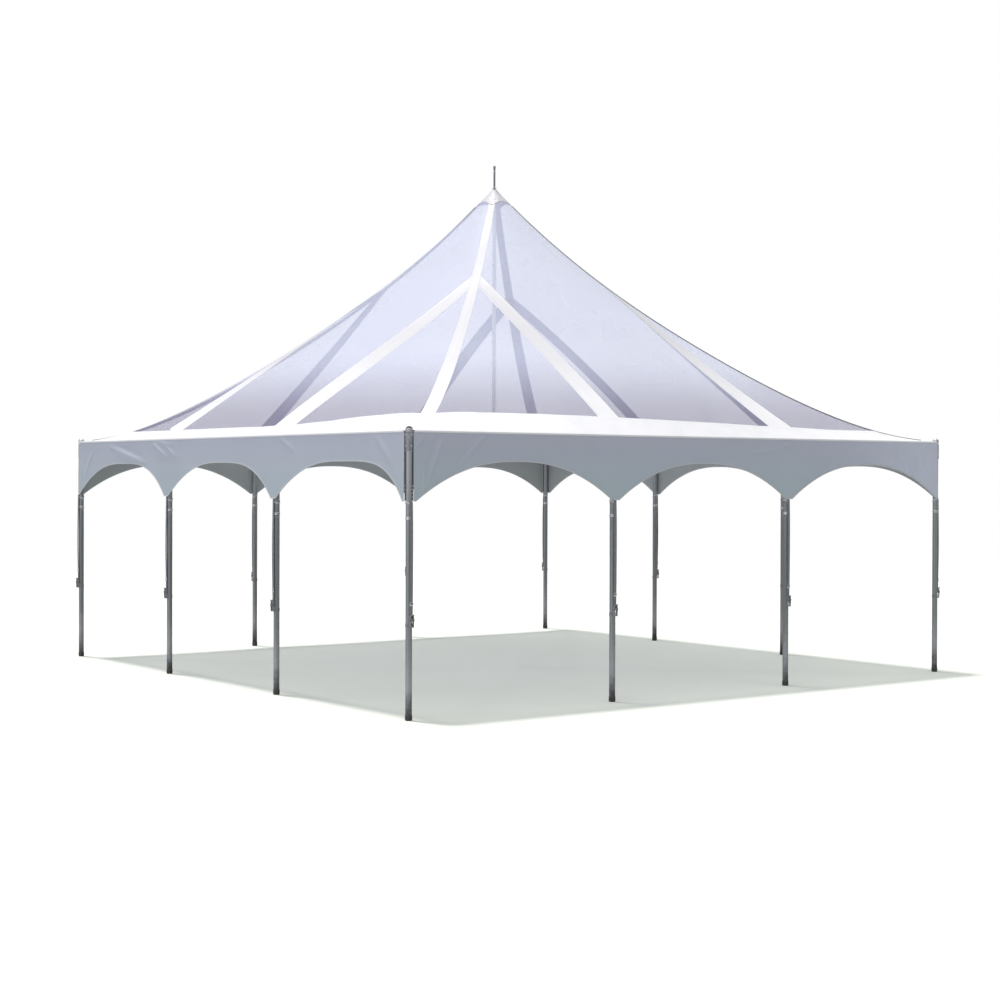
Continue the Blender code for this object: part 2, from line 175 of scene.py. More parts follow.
class Shape:
    """A mesh put together from turned, swept and laid-out parts, each with a finish."""

    def __init__(self) -> None:
        """Start with no parts."""
        self.points: list[Vector] = []
        self.faces: list[tuple[int, ...]] = []
        self.finish: list[int] = []

    def add(self, points: Iterable[Sequence[float]], faces: Iterable[Sequence[int]],
            place: Optional[Matrix] = None, finish: int = 0) -> None:
        """Add one closed part.

        Args:
            points: The part's corners.
            faces: Its faces, as indices into points.
            place: Where the part goes, or None where it already lies.
            finish: Index of the part's finish among the piece's finishes.
        """
        first = len(self.points)
        for point in points:
            vector = Vector(point)
            self.points.append(place @ vector if place is not None else vector)
        for face in faces:
            self.faces.append(tuple(first + index for index in face))
            self.finish.append(finish)

    def turned(self, outline: Sequence[Point], sides: int = 32,
               place: Optional[Matrix] = None, finish: int = 0) -> None:
        """Turn a (radius, height) outline about +Z.

        Args:
            outline: Points in order, anticlockwise seen with the axis at the left; a
                point at radius 0 is a pole, and without poles the outline is a ring.
            sides: Number of steps round the axis.
            place: Where the turned part goes.
            finish: Index of its finish.
        """
        points: list[tuple[float, float, float]] = []
        rows: list[list[int]] = []
        for radius, height in outline:
            if radius <= 0:
                rows.append([len(points)] * sides)
                points.append((0.0, 0.0, height))
                continue
            rows.append(list(range(len(points), len(points) + sides)))
            for k in range(sides):
                angle = 2 * math.pi * k / sides
                points.append((radius * math.cos(angle), radius * math.sin(angle), height))
        pairs = list(zip(rows, rows[1:]))
        if outline[0][0] > 0:
            pairs.append((rows[-1], rows[0]))
        faces = []
        for low, high in pairs:
            for k in range(sides):
                n = (k + 1) % sides
                face = (low[k], low[n], high[n], high[k])
                trimmed = tuple(dict.fromkeys(face))
                if len(trimmed) > 2:
                    faces.append(trimmed)
        self.add(points, faces, place, finish)

    def swept(self, path: Sequence[Sequence[float]], radius: float, sides: int = 8,
              place: Optional[Matrix] = None, finish: int = 0, closed: bool = False) -> None:
        """Sweep a round section along a path.

        Args:
            path: Points of the centre line.
            radius: Radius of the section.
            sides: Number of sides of the section.
            place: Where the swept part goes.
            finish: Index of its finish.
            closed: Whether the path is a ring.
        """
        section = [(radius * math.cos(2 * math.pi * k / sides),
                    radius * math.sin(2 * math.pi * k / sides)) for k in range(sides)]
        self.extruded(path, section, place, finish, closed)

    def extruded(self, path: Sequence[Sequence[float]], section: Sequence[Point],
                 place: Optional[Matrix] = None, finish: int = 0, closed: bool = False,
                 upright: Sequence[float] = (0.0, 0.0, 1.0)) -> None:
        """Carry any closed section along a path.

        Args:
            path: Points of the centre line.
            section: Corners of the section, across and up.
            place: Where the part goes.
            finish: Index of its finish.
            closed: Whether the path is a ring.
            upright: The direction that the section's second number follows.
        """
        line = [Vector(point) for point in path]
        count, sides = len(line), len(section)
        points = []
        for k, here in enumerate(line):
            ahead = line[(k + 1) % count] if closed or k + 1 < count else here
            behind = line[k - 1] if closed or k > 0 else here
            along = (ahead - behind).normalized()
            up = Vector(upright)
            if abs(up.dot(along)) > 0.98:
                up = Vector((0.0, 1.0, 0.0)) if abs(along.y) < 0.9 else Vector((1.0, 0.0, 0.0))
            across = along.cross(up).normalized()
            up = across.cross(along)
            points += [here + across * a + up * b for a, b in section]
        faces = []
        for k in range(count if closed else count - 1):
            n = (k + 1) % count
            for s in range(sides):
                t = (s + 1) % sides
                faces.append((k * sides + s, k * sides + t, n * sides + t, n * sides + s))
        if not closed:
            faces.append(tuple(reversed(range(sides))))
            faces.append(tuple((count - 1) * sides + s for s in range(sides)))
        self.add(points, faces, place, finish)

    def block(self, size: Sequence[float], round_off: float = 0.001, steps: int = 2,
              place: Optional[Matrix] = None, finish: int = 0) -> None:
        """Add a block with rounded edges, centred on its placing.

        Args:
            size: Lengths along x, y and z.
            round_off: Radius of the edges.
            steps: Segments of each rounded edge.
            place: Where the block goes.
            finish: Index of its finish.
        """
        bm = bmesh.new()
        bmesh.ops.create_cube(bm, size=1.0, matrix=Matrix.Diagonal((*size, 1.0)))
        bmesh.ops.bevel(bm, geom=list(bm.edges), offset=round_off, segments=steps,
                        affect="EDGES", profile=0.5)
        bm.verts.index_update()
        points = [vert.co.copy() for vert in bm.verts]
        faces = [tuple(vert.index for vert in face.verts) for face in bm.faces]
        bm.free()
        self.add(points, faces, place, finish)

    def ball(self, radius: float, place: Matrix, finish: int = 0, sides: int = 32) -> None:
        """Add a smooth ball, turned about its own upright axis."""
        bands = sides // 2
        outline = [(radius * math.sin(math.pi * k / bands), -radius * math.cos(math.pi * k / bands))
                   for k in range(bands + 1)]
        outline[0] = (0.0, -radius)
        outline[-1] = (0.0, radius)
        self.turned(outline, sides, place, finish)

    def piece(self, name: str, finishes: Sequence[bpy.types.Material], slot: str,
              smooth: float = 35.0, replaces: Sequence[str] = ()) -> bpy.types.Object:
        """Make the object, let it ride on the frame and report it.

        Args:
            name: The piece's name.
            finishes: Its materials, in the order of the parts' finish numbers.
            slot: The record's slot for the piece's finish; not used.
            smooth: Edges sharper than this many degrees stay sharp.
            replaces: The CAD nodes that the piece stands for.

        Returns:
            The finished object.
        """
        mesh = bpy.data.meshes.new(name)
        mesh.from_pydata([tuple(point) for point in self.points], [], self.faces)
        for material in finishes:
            mesh.materials.append(material)
        mesh.polygons.foreach_set("material_index", self.finish)
        mesh.update()
        bm = bmesh.new()
        bm.from_mesh(mesh)
        bmesh.ops.recalc_face_normals(bm, faces=bm.faces)
        bm.to_mesh(mesh)
        bm.free()
        mesh.shade_smooth()
        mesh.set_sharp_from_angle(angle=math.radians(smooth))
        made = bpy.data.objects.new(name, mesh)
        return present(made, replaces)


def present(made: bpy.types.Object, replaces: Sequence[str] = ()) -> bpy.types.Object:
    """Link a piece, let it ride on the frame and report it.

    Args:
        made: The new object.
        replaces: The CAD nodes that the piece stands for.

    Returns:
        The same object.
    """
    if made.name not in bpy.context.scene.collection.objects:
        bpy.context.scene.collection.objects.link(made)
    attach(made, BODY)
    if replaces:
        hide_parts(*replaces)
    LOG.info("%s: %d faces", made.name, len(made.data.polygons))
    return made


class NodeSheet:
    """A node tree that is filled from left to right with short calls."""

    def __init__(self, tree: bpy.types.NodeTree) -> None:
        """Keep the tree that the nodes go into."""
        self.tree = tree

    def node(self, kind: str, settings: Optional[dict] = None, **inputs: object) -> bpy.types.Node:
        """Add a node.

        Args:
            kind: Blender's type name without the ShaderNode prefix.
            settings: Properties of the node itself.
            **inputs: Values or sockets for inputs, with _ for each space in their names.

        Returns:
            The new node.
        """
        made = self.tree.nodes.new("ShaderNode" + kind)
        for name, value in (settings or {}).items():
            setattr(made, name, value)
        for name, value in inputs.items():
            self.feed(made.inputs[name.replace("_", " ")], value)
        return made

    def feed(self, socket: bpy.types.NodeSocket, value: object) -> None:
        """Link another node's socket to an input, or set the input's own value."""
        if isinstance(value, bpy.types.NodeSocket):
            self.tree.links.new(value, socket)
        else:
            socket.default_value = value

    def math(self, operation: str, a: object, b: object = 0.0, clamp: bool = False) -> bpy.types.NodeSocket:
        """Return the result of one arithmetic step on two values or sockets."""
        made = self.tree.nodes.new("ShaderNodeMath")
        made.operation = operation
        made.use_clamp = clamp
        self.feed(made.inputs[0], a)
        self.feed(made.inputs[1], b)
        return made.outputs[0]

    def span(self, value: object, low: float, high: float, to_low: float = 0.0,
             to_high: float = 1.0) -> bpy.types.NodeSocket:
        """Return a value brought smoothly from one range to another."""
        made = self.tree.nodes.new("ShaderNodeMapRange")
        made.interpolation_type = "SMOOTHSTEP"
        for index, number in enumerate((value, low, high, to_low, to_high)):
            self.feed(made.inputs[index], number)
        return made.outputs[0]

    def blend(self, share: object, first: object, second: object,
              mode: str = "MIX") -> bpy.types.NodeSocket:
        """Return two colours blended by a share."""
        made = self.tree.nodes.new("ShaderNodeMix")
        made.data_type = "RGBA"
        made.blend_type = mode
        self.feed(made.inputs[0], share)
        self.feed(made.inputs[6], first)
        self.feed(made.inputs[7], second)
        return made.outputs[2]


def opaque(colour: Colour) -> tuple[float, float, float, float]:
    """Return a colour with full alpha, as a socket takes it."""
    return (*colour, 1.0)


class Effects:
    """Shader node groups that several finishes share, each built once."""

    def __init__(self) -> None:
        """Build every group."""
        self.grain = self._grain()
        self.streaks = self._streaks()
        self.worn_edges = self._worn_edges()
        self.scrim = self._scrim()
        self.slackness = self._slackness()
        self.rising_dirt = self._rising_dirt()

    @staticmethod
    def _start(name: str, inputs: Sequence[tuple[str, str, object]],
               outputs: Sequence[tuple[str, str]]) -> tuple[NodeSheet, bpy.types.Node, bpy.types.Node]:
        """Open a group with named sockets.

        Args:
            name: The group's name.
            inputs: Name, kind and default of each input.
            outputs: Name and kind of each output.

        Returns:
            The group's sheet, its input node and its output node.
        """
        tree = bpy.data.node_groups.new(name, "ShaderNodeTree")
        for label, kind, default in inputs:
            socket = tree.interface.new_socket(name=label, in_out="INPUT", socket_type="NodeSocket" + kind)
            if default is not None:
                socket.default_value = default
        for label, kind in outputs:
            tree.interface.new_socket(name=label, in_out="OUTPUT", socket_type="NodeSocket" + kind)
        return NodeSheet(tree), tree.nodes.new("NodeGroupInput"), tree.nodes.new("NodeGroupOutput")

    def _grain(self) -> bpy.types.NodeTree:
        """Fine grain of a cast, moulded or coated surface."""
        sheet, given, out = self._start(
            "fine grain", [("Scale", "Float", 400.0), ("Coarse Scale", "Float", 30.0)],
            [("Height", "Float"), ("Mask", "Float")])
        place = sheet.node("TexCoord").outputs["Object"]
        fine = sheet.node("TexNoise", Vector=place, Scale=given.outputs["Scale"], Detail=4.0)
        coarse = sheet.node("TexNoise", Vector=place, Scale=given.outputs["Coarse Scale"], Detail=3.0)
        both = sheet.math("MULTIPLY_ADD", coarse.outputs["Fac"], 0.5)
        sheet.feed(both.node.inputs[2], fine.outputs["Fac"])
        sheet.feed(out.inputs["Height"], both)
        sheet.feed(out.inputs["Mask"], sheet.span(coarse.outputs["Fac"], 0.35, 0.68))
        return sheet.tree

    def _streaks(self) -> bpy.types.NodeTree:
        """Drawn lines and handling marks that run along an upright tube."""
        sheet, given, out = self._start(
            "drawn streaks", [("Across", "Float", 260.0), ("Along", "Float", 3.0)],
            [("Height", "Float"), ("Mask", "Float")])
        place = sheet.node("TexCoord").outputs["Object"]
        scale = sheet.node("CombineXYZ", X=given.outputs["Across"], Y=given.outputs["Across"],
                           Z=given.outputs["Along"])
        drawn = sheet.node("VectorMath", {"operation": "MULTIPLY"})
        sheet.feed(drawn.inputs[0], place)
        sheet.feed(drawn.inputs[1], scale.outputs[0])
        lines = sheet.node("TexNoise", Vector=drawn.outputs[0], Scale=1.0, Detail=3.0, Roughness=0.6)
        marks = sheet.node("TexNoise", Vector=drawn.outputs[0], Scale=0.11, Detail=5.0, Roughness=0.7)
        sheet.feed(out.inputs["Height"], lines.outputs["Fac"])
        sheet.feed(out.inputs["Mask"], sheet.span(marks.outputs["Fac"], 0.42, 0.66))
        return sheet.tree

    def _worn_edges(self) -> bpy.types.NodeTree:
        """Bare, brighter metal where an edge stands proud."""
        sheet, given, out = self._start(
            "worn edges", [("Reach", "Float", 0.56), ("Scale", "Float", 60.0)], [("Mask", "Float")])
        point = sheet.node("NewGeometry").outputs["Pointiness"]
        place = sheet.node("TexCoord").outputs["Object"]
        broken = sheet.node("TexNoise", Vector=place, Scale=given.outputs["Scale"], Detail=4.0)
        shifted = sheet.math("MULTIPLY_ADD", broken.outputs["Fac"], 0.06)
        sheet.feed(shifted.node.inputs[2], point)
        start = given.outputs["Reach"]
        sheet.feed(out.inputs["Mask"], sheet.span(shifted, start, sheet.math("ADD", start, 0.06)))
        return sheet.tree

    def _scrim(self) -> bpy.types.NodeTree:
        """The base cloth's threads, which print faintly through coated vinyl."""
        sheet, given, out = self._start(
            "woven scrim", [("Threads per Metre", "Float", 900.0)],
            [("Height", "Float"), ("Mask", "Float")])
        place = sheet.node("TexCoord").outputs["Object"]
        scaled = sheet.node("VectorMath", {"operation": "SCALE"})
        sheet.feed(scaled.inputs[0], place)
        sheet.feed(scaled.inputs["Scale"], given.outputs["Threads per Metre"])
        weave = []
        for axis in ("X", "Y", "Z"):
            part = sheet.node("SeparateXYZ", Vector=scaled.outputs[0]).outputs[axis]
            weave.append(sheet.math("ABSOLUTE", sheet.math("SINE", part)))
        first = sheet.math("MULTIPLY", weave[0], weave[2])
        second = sheet.math("MULTIPLY", weave[1], weave[2])
        height = sheet.math("MAXIMUM", first, second)
        drift = sheet.node("TexNoise", Vector=place, Scale=2.4, Detail=3.0)
        sheet.feed(out.inputs["Height"], height)
        sheet.feed(out.inputs["Mask"], sheet.span(drift.outputs["Fac"], 0.34, 0.70))
        return sheet.tree

    def _slackness(self) -> bpy.types.NodeTree:
        """Soft, shallow unevenness of a tensioned skin, a hand's breadth across."""
        sheet, given, out = self._start(
            "soft unevenness", [("Scale", "Float", 3.0), ("Stretch", "Float", 0.35)],
            [("Height", "Float"), ("Mask", "Float")])
        place = sheet.node("TexCoord").outputs["Object"]
        scale = sheet.node("CombineXYZ", X=1.0, Y=1.0, Z=given.outputs["Stretch"])
        drawn = sheet.node("VectorMath", {"operation": "MULTIPLY"})
        sheet.feed(drawn.inputs[0], place)
        sheet.feed(drawn.inputs[1], scale.outputs[0])
        broad = sheet.node("TexNoise", Vector=drawn.outputs[0], Scale=given.outputs["Scale"],
                           Detail=2.0, Distortion=0.4)
        sheet.feed(out.inputs["Height"], broad.outputs["Fac"])
        sheet.feed(out.inputs["Mask"], sheet.span(broad.outputs["Fac"], 0.3, 0.7))
        return sheet.tree

    def _rising_dirt(self) -> bpy.types.NodeTree:
        """Dirt and splashes that are thickest by the ground and fade upwards."""
        sheet, given, out = self._start(
            "rising dirt", [("Top", "Float", 0.5), ("Scale", "Float", 14.0)], [("Mask", "Float")])
        place = sheet.node("TexCoord").outputs["Object"]
        height = sheet.node("SeparateXYZ", Vector=place).outputs["Z"]
        blots = sheet.node("TexNoise", Vector=place, Scale=given.outputs["Scale"], Detail=5.0,
                           Roughness=0.65)
        fade = sheet.math("DIVIDE", height, given.outputs["Top"])
        sum_of = sheet.math("MULTIPLY_ADD", blots.outputs["Fac"], -0.9)
        sheet.feed(sum_of.node.inputs[2], fade)
        sheet.feed(out.inputs["Mask"], sheet.span(sum_of, -0.45, 0.5, 1.0, 0.0))
        return sheet.tree


@dataclass(frozen=True)
class Finish:
    """What every finish has: a name and the colour that the eye gives it."""

    name: str
    colour: Colour
    roughness: float

    def start(self) -> tuple[bpy.types.Material, NodeSheet, bpy.types.Node]:
        """Open the material and return it with its sheet and its shader."""
        made = bpy.data.materials.new(self.name)
        made.use_nodes = True
        made.diffuse_color = opaque(self.colour)
        shader = made.node_tree.nodes["Principled BSDF"]
        shader.inputs["Roughness"].default_value = self.roughness
        return made, NodeSheet(made.node_tree), shader

    @staticmethod
    def place(sheet: NodeSheet, group: bpy.types.NodeTree, **inputs: object) -> bpy.types.Node:
        """Put a shared effect in a material, with this material's own values."""
        made = sheet.tree.nodes.new("ShaderNodeGroup")
        made.node_tree = group
        for name, value in inputs.items():
            sheet.feed(made.inputs[name.replace("_", " ")], value)
        return made

    @staticmethod
    def shaded(sheet: NodeSheet, ray: bpy.types.NodeSocket, seen: object,
               shade: float) -> bpy.types.NodeSocket:
        """Return how opaque a skin is: as seen, but with its own share for the shade it casts."""
        lit = sheet.math("MULTIPLY", sheet.math("SUBTRACT", 1.0, ray), seen)
        return sheet.math("ADD", lit, sheet.math("MULTIPLY", ray, shade))

    @staticmethod
    def bump(sheet: NodeSheet, shader: bpy.types.Node,
             layers: Sequence[tuple[object, float, float]]) -> None:
        """Stack bumps on the shader's normal.

        Args:
            sheet: The material's sheet.
            shader: Its Principled shader.
            layers: For each bump, the height's socket, the strength and the distance.
        """
        normal = None
        for height, strength, distance in layers:
            made = sheet.node("Bump", Height=height, Strength=strength, Distance=distance)
            if normal is not None:
                sheet.feed(made.inputs["Normal"], normal)
            normal = made.outputs[0]
        sheet.feed(shader.inputs["Normal"], normal)


@dataclass(frozen=True)
class Metal(Finish):
    """Tube, casting or plated steel, with drawn streaks or grain, wear and dirt."""

    metallic: float = 0.9
    dull: Colour = (0.2, 0.2, 0.2)
    dull_share: float = 0.5
    bright: Colour = (0.7, 0.7, 0.7)
    wear_reach: float = 0.55
    dirt_top: float = 0.0
    dirt: Colour = (0.05, 0.05, 0.045)
    drawn: bool = True
    grain_scale: float = 500.0
    relief: float = 0.0002

    def make(self, effects: Effects) -> bpy.types.Material:
        """Return the material."""
        made, sheet, shader = self.start()
        grain = self.place(sheet, effects.grain, Scale=self.grain_scale, Coarse_Scale=22.0)
        texture = self.place(sheet, effects.streaks) if self.drawn else grain
        share = sheet.math("MULTIPLY", texture.outputs["Mask"], self.dull_share)
        colour = sheet.blend(share, opaque(self.colour), opaque(self.dull))
        wear = self.place(sheet, effects.worn_edges, Reach=self.wear_reach)
        colour = sheet.blend(wear.outputs["Mask"], colour, opaque(self.bright))
        rough = sheet.span(texture.outputs["Mask"], 0.0, 1.0, self.roughness, self.roughness + 0.22)
        metal = sheet.span(texture.outputs["Mask"], 0.0, 1.0, self.metallic, self.metallic * 0.8)
        if self.dirt_top > 0:
            dirt = self.place(sheet, effects.rising_dirt, Top=self.dirt_top)
            colour = sheet.blend(dirt.outputs["Mask"], colour, opaque(self.dirt))
            rough = sheet.math("MAXIMUM", rough, sheet.math("MULTIPLY", dirt.outputs["Mask"], 0.85))
            clean = sheet.math("SUBTRACT", 1.0, dirt.outputs["Mask"])
            metal = sheet.math("MULTIPLY", metal, clean)
        sheet.feed(shader.inputs["Base Color"], colour)
        sheet.feed(shader.inputs["Roughness"], rough)
        sheet.feed(shader.inputs["Metallic"], metal)
        self.bump(sheet, shader, [(texture.outputs["Height"], 0.35, self.relief),
                                  (grain.outputs["Height"], 0.2, self.relief / 2)])
        return made


@dataclass(frozen=True)
class CoatedVinyl(Finish):
    """Opaque coated fabric: base cloth under a satin skin, uneven and lightly soiled, with colour that can change
    with height and towards the +x end as painted shade and light.
    """

    low_colour: Colour = (0.5, 0.5, 0.5)
    low_z: float = 0.0
    high_z: float = 1.0
    soil: Colour = (0.45, 0.45, 0.42)
    soil_share: float = 0.12
    crease: float = 0.004
    sheen: float = 0.05
    gathered_z: float = 0.0
    shade: float = 1.0
    end_painted_light: Optional[Colour] = None

    def make(self, effects: Effects) -> bpy.types.Material:
        """Return the material."""
        made, sheet, shader = self.start()
        place = sheet.node("TexCoord").outputs["Object"]
        height = sheet.node("SeparateXYZ", Vector=place).outputs["Z"]
        # Painted shade: the colour changes with height, from the low colour to the top colour.
        rise = sheet.span(height, self.low_z, self.high_z)
        colour = sheet.blend(rise, opaque(self.low_colour), opaque(self.colour))
        # Painted light: towards the +x end the colour turns to a paler lavender.
        if self.end_painted_light is not None:
            along = sheet.node("SeparateXYZ", Vector=place).outputs["X"]
            colour = sheet.blend(sheet.span(along, 1.2, 3.0), colour, opaque(self.end_painted_light))
        scrim = self.place(sheet, effects.scrim, Threads_per_Metre=2600.0)
        soft = self.place(sheet, effects.slackness, Scale=2.2, Stretch=0.5)
        grain = self.place(sheet, effects.grain, Scale=900.0, Coarse_Scale=6.0)
        soiled = sheet.math("MULTIPLY", grain.outputs["Mask"], self.soil_share)
        colour = sheet.blend(soiled, colour, opaque(self.soil))
        rough = sheet.span(scrim.outputs["Mask"], 0.0, 1.0, self.roughness - 0.06, self.roughness + 0.08)
        sheet.feed(shader.inputs["Base Color"], colour)
        sheet.feed(shader.inputs["Roughness"], rough)
        shader.inputs["Sheen Weight"].default_value = self.sheen
        layers = [(soft.outputs["Height"], 0.4, self.crease), (scrim.outputs["Height"], 0.15, 0.00012),
                  (grain.outputs["Height"], 0.12, 0.0001)]
        if self.shade < 1:
            ray = sheet.node("LightPath").outputs["Is Shadow Ray"]
            sheet.feed(shader.inputs["Alpha"], self.shaded(sheet, ray, 1.0, self.shade))
        if self.gathered_z > 0:
            folds = sheet.node("TexNoise", Vector=place, Scale=26.0, Detail=2.0, Distortion=0.8)
            pulled = sheet.span(height, self.gathered_z, self.gathered_z + 0.7)
            layers.append((sheet.math("MULTIPLY", folds.outputs["Fac"], pulled), 0.8, 0.012))
        self.bump(sheet, shader, layers)
        return made


@dataclass(frozen=True)
class ClearVinyl(Finish):
    """See-through glazing vinyl with a soft lavender tint and a glossy skin, its colour darkened towards the eave
    as painted shade.
    """

    low_colour: Colour = (0.5, 0.5, 0.6)
    low_z: float = 2.2
    high_z: float = 4.4
    clear: float = 0.5
    haze: float = 0.03
    shade: float = 0.46
    gloss: float = 0.18

    def make(self, effects: Effects) -> bpy.types.Material:
        """Return the material."""
        made, sheet, shader = self.start()
        place = sheet.node("TexCoord").outputs["Object"]
        height = sheet.node("SeparateXYZ", Vector=place).outputs["Z"]
        # Painted shade: the colour runs from a dark low colour at the eave up to the tint higher on the roof.
        rise = sheet.span(height, self.low_z, self.high_z)
        colour = sheet.blend(rise, opaque(self.low_colour), opaque(self.colour))
        soft = self.place(sheet, effects.slackness, Scale=0.8, Stretch=0.5)
        grain = self.place(sheet, effects.grain, Scale=300.0, Coarse_Scale=0.9)
        alpha = sheet.span(grain.outputs["Mask"], 0.0, 1.0, 1.0 - self.clear,
                           1.0 - self.clear + self.haze)
        rough = sheet.span(soft.outputs["Mask"], 0.0, 1.0, self.roughness, self.roughness + 0.10)
        sheet.feed(shader.inputs["Base Color"], colour)
        sheet.feed(shader.inputs["Roughness"], rough)
        shader.inputs["Specular IOR Level"].default_value = self.gloss
        ray = sheet.node("LightPath").outputs["Is Shadow Ray"]
        sheet.feed(shader.inputs["Alpha"], self.shaded(sheet, ray, alpha, self.shade))
        self.bump(sheet, shader, [(soft.outputs["Height"], 0.15, 0.002)])
        return made


@dataclass(frozen=True)
class Webbing(Finish):
    """Woven polyester strap, ribbed across with a coarser edge."""

    ribs: float = 2400.0
    shade: Colour = (0.2, 0.2, 0.2)
    upright: bool = True

    def make(self, effects: Effects) -> bpy.types.Material:
        """Return the material."""
        made, sheet, shader = self.start()
        place = sheet.node("TexCoord").outputs["Object"]
        parts = sheet.node("SeparateXYZ", Vector=place)
        rise = sheet.math("MULTIPLY", parts.outputs["Z"], self.ribs)
        side = sheet.math("MULTIPLY", sheet.math("ADD", parts.outputs["X"], parts.outputs["Y"]), self.ribs)
        rib = sheet.math("MULTIPLY", sheet.math("SINE", sheet.math("ADD", rise, side)),
                         sheet.math("SINE", sheet.math("SUBTRACT", rise, side)))
        grain = self.place(sheet, effects.grain, Scale=1200.0, Coarse_Scale=25.0)
        colour = sheet.blend(sheet.span(rib, -0.6, 0.6), opaque(self.shade), opaque(self.colour))
        colour = sheet.blend(sheet.math("MULTIPLY", grain.outputs["Mask"], 0.35), colour,
                             opaque(self.shade))
        sheet.feed(shader.inputs["Base Color"], colour)
        rough = sheet.span(grain.outputs["Mask"], 0.0, 1.0, self.roughness, self.roughness + 0.1)
        sheet.feed(shader.inputs["Roughness"], rough)
        self.bump(sheet, shader, [(rib, 0.5, 0.0004), (grain.outputs["Height"], 0.3, 0.0002)])
        return made


@dataclass(frozen=True)
class Moulded(Finish):
    """Rubber or plastic with a fine moulded grain, scuffed paler on its edges."""

    scuff: Colour = (0.3, 0.3, 0.3)
    scuff_share: float = 0.5

    def make(self, effects: Effects) -> bpy.types.Material:
        """Return the material."""
        made, sheet, shader = self.start()
        grain = self.place(sheet, effects.grain, Scale=700.0, Coarse_Scale=45.0)
        wear = self.place(sheet, effects.worn_edges, Reach=0.54, Scale=90.0)
        share = sheet.math("MULTIPLY", wear.outputs["Mask"], self.scuff_share)
        dusty = sheet.math("MULTIPLY", grain.outputs["Mask"], self.scuff_share * 0.4)
        colour = sheet.blend(sheet.math("MAXIMUM", share, dusty), opaque(self.colour), opaque(self.scuff))
        rough = sheet.span(grain.outputs["Mask"], 0.0, 1.0, self.roughness, self.roughness + 0.15)
        sheet.feed(shader.inputs["Base Color"], colour)
        sheet.feed(shader.inputs["Roughness"], rough)
        self.bump(sheet, shader, [(grain.outputs["Height"], 0.4, 0.0003)])
        return made


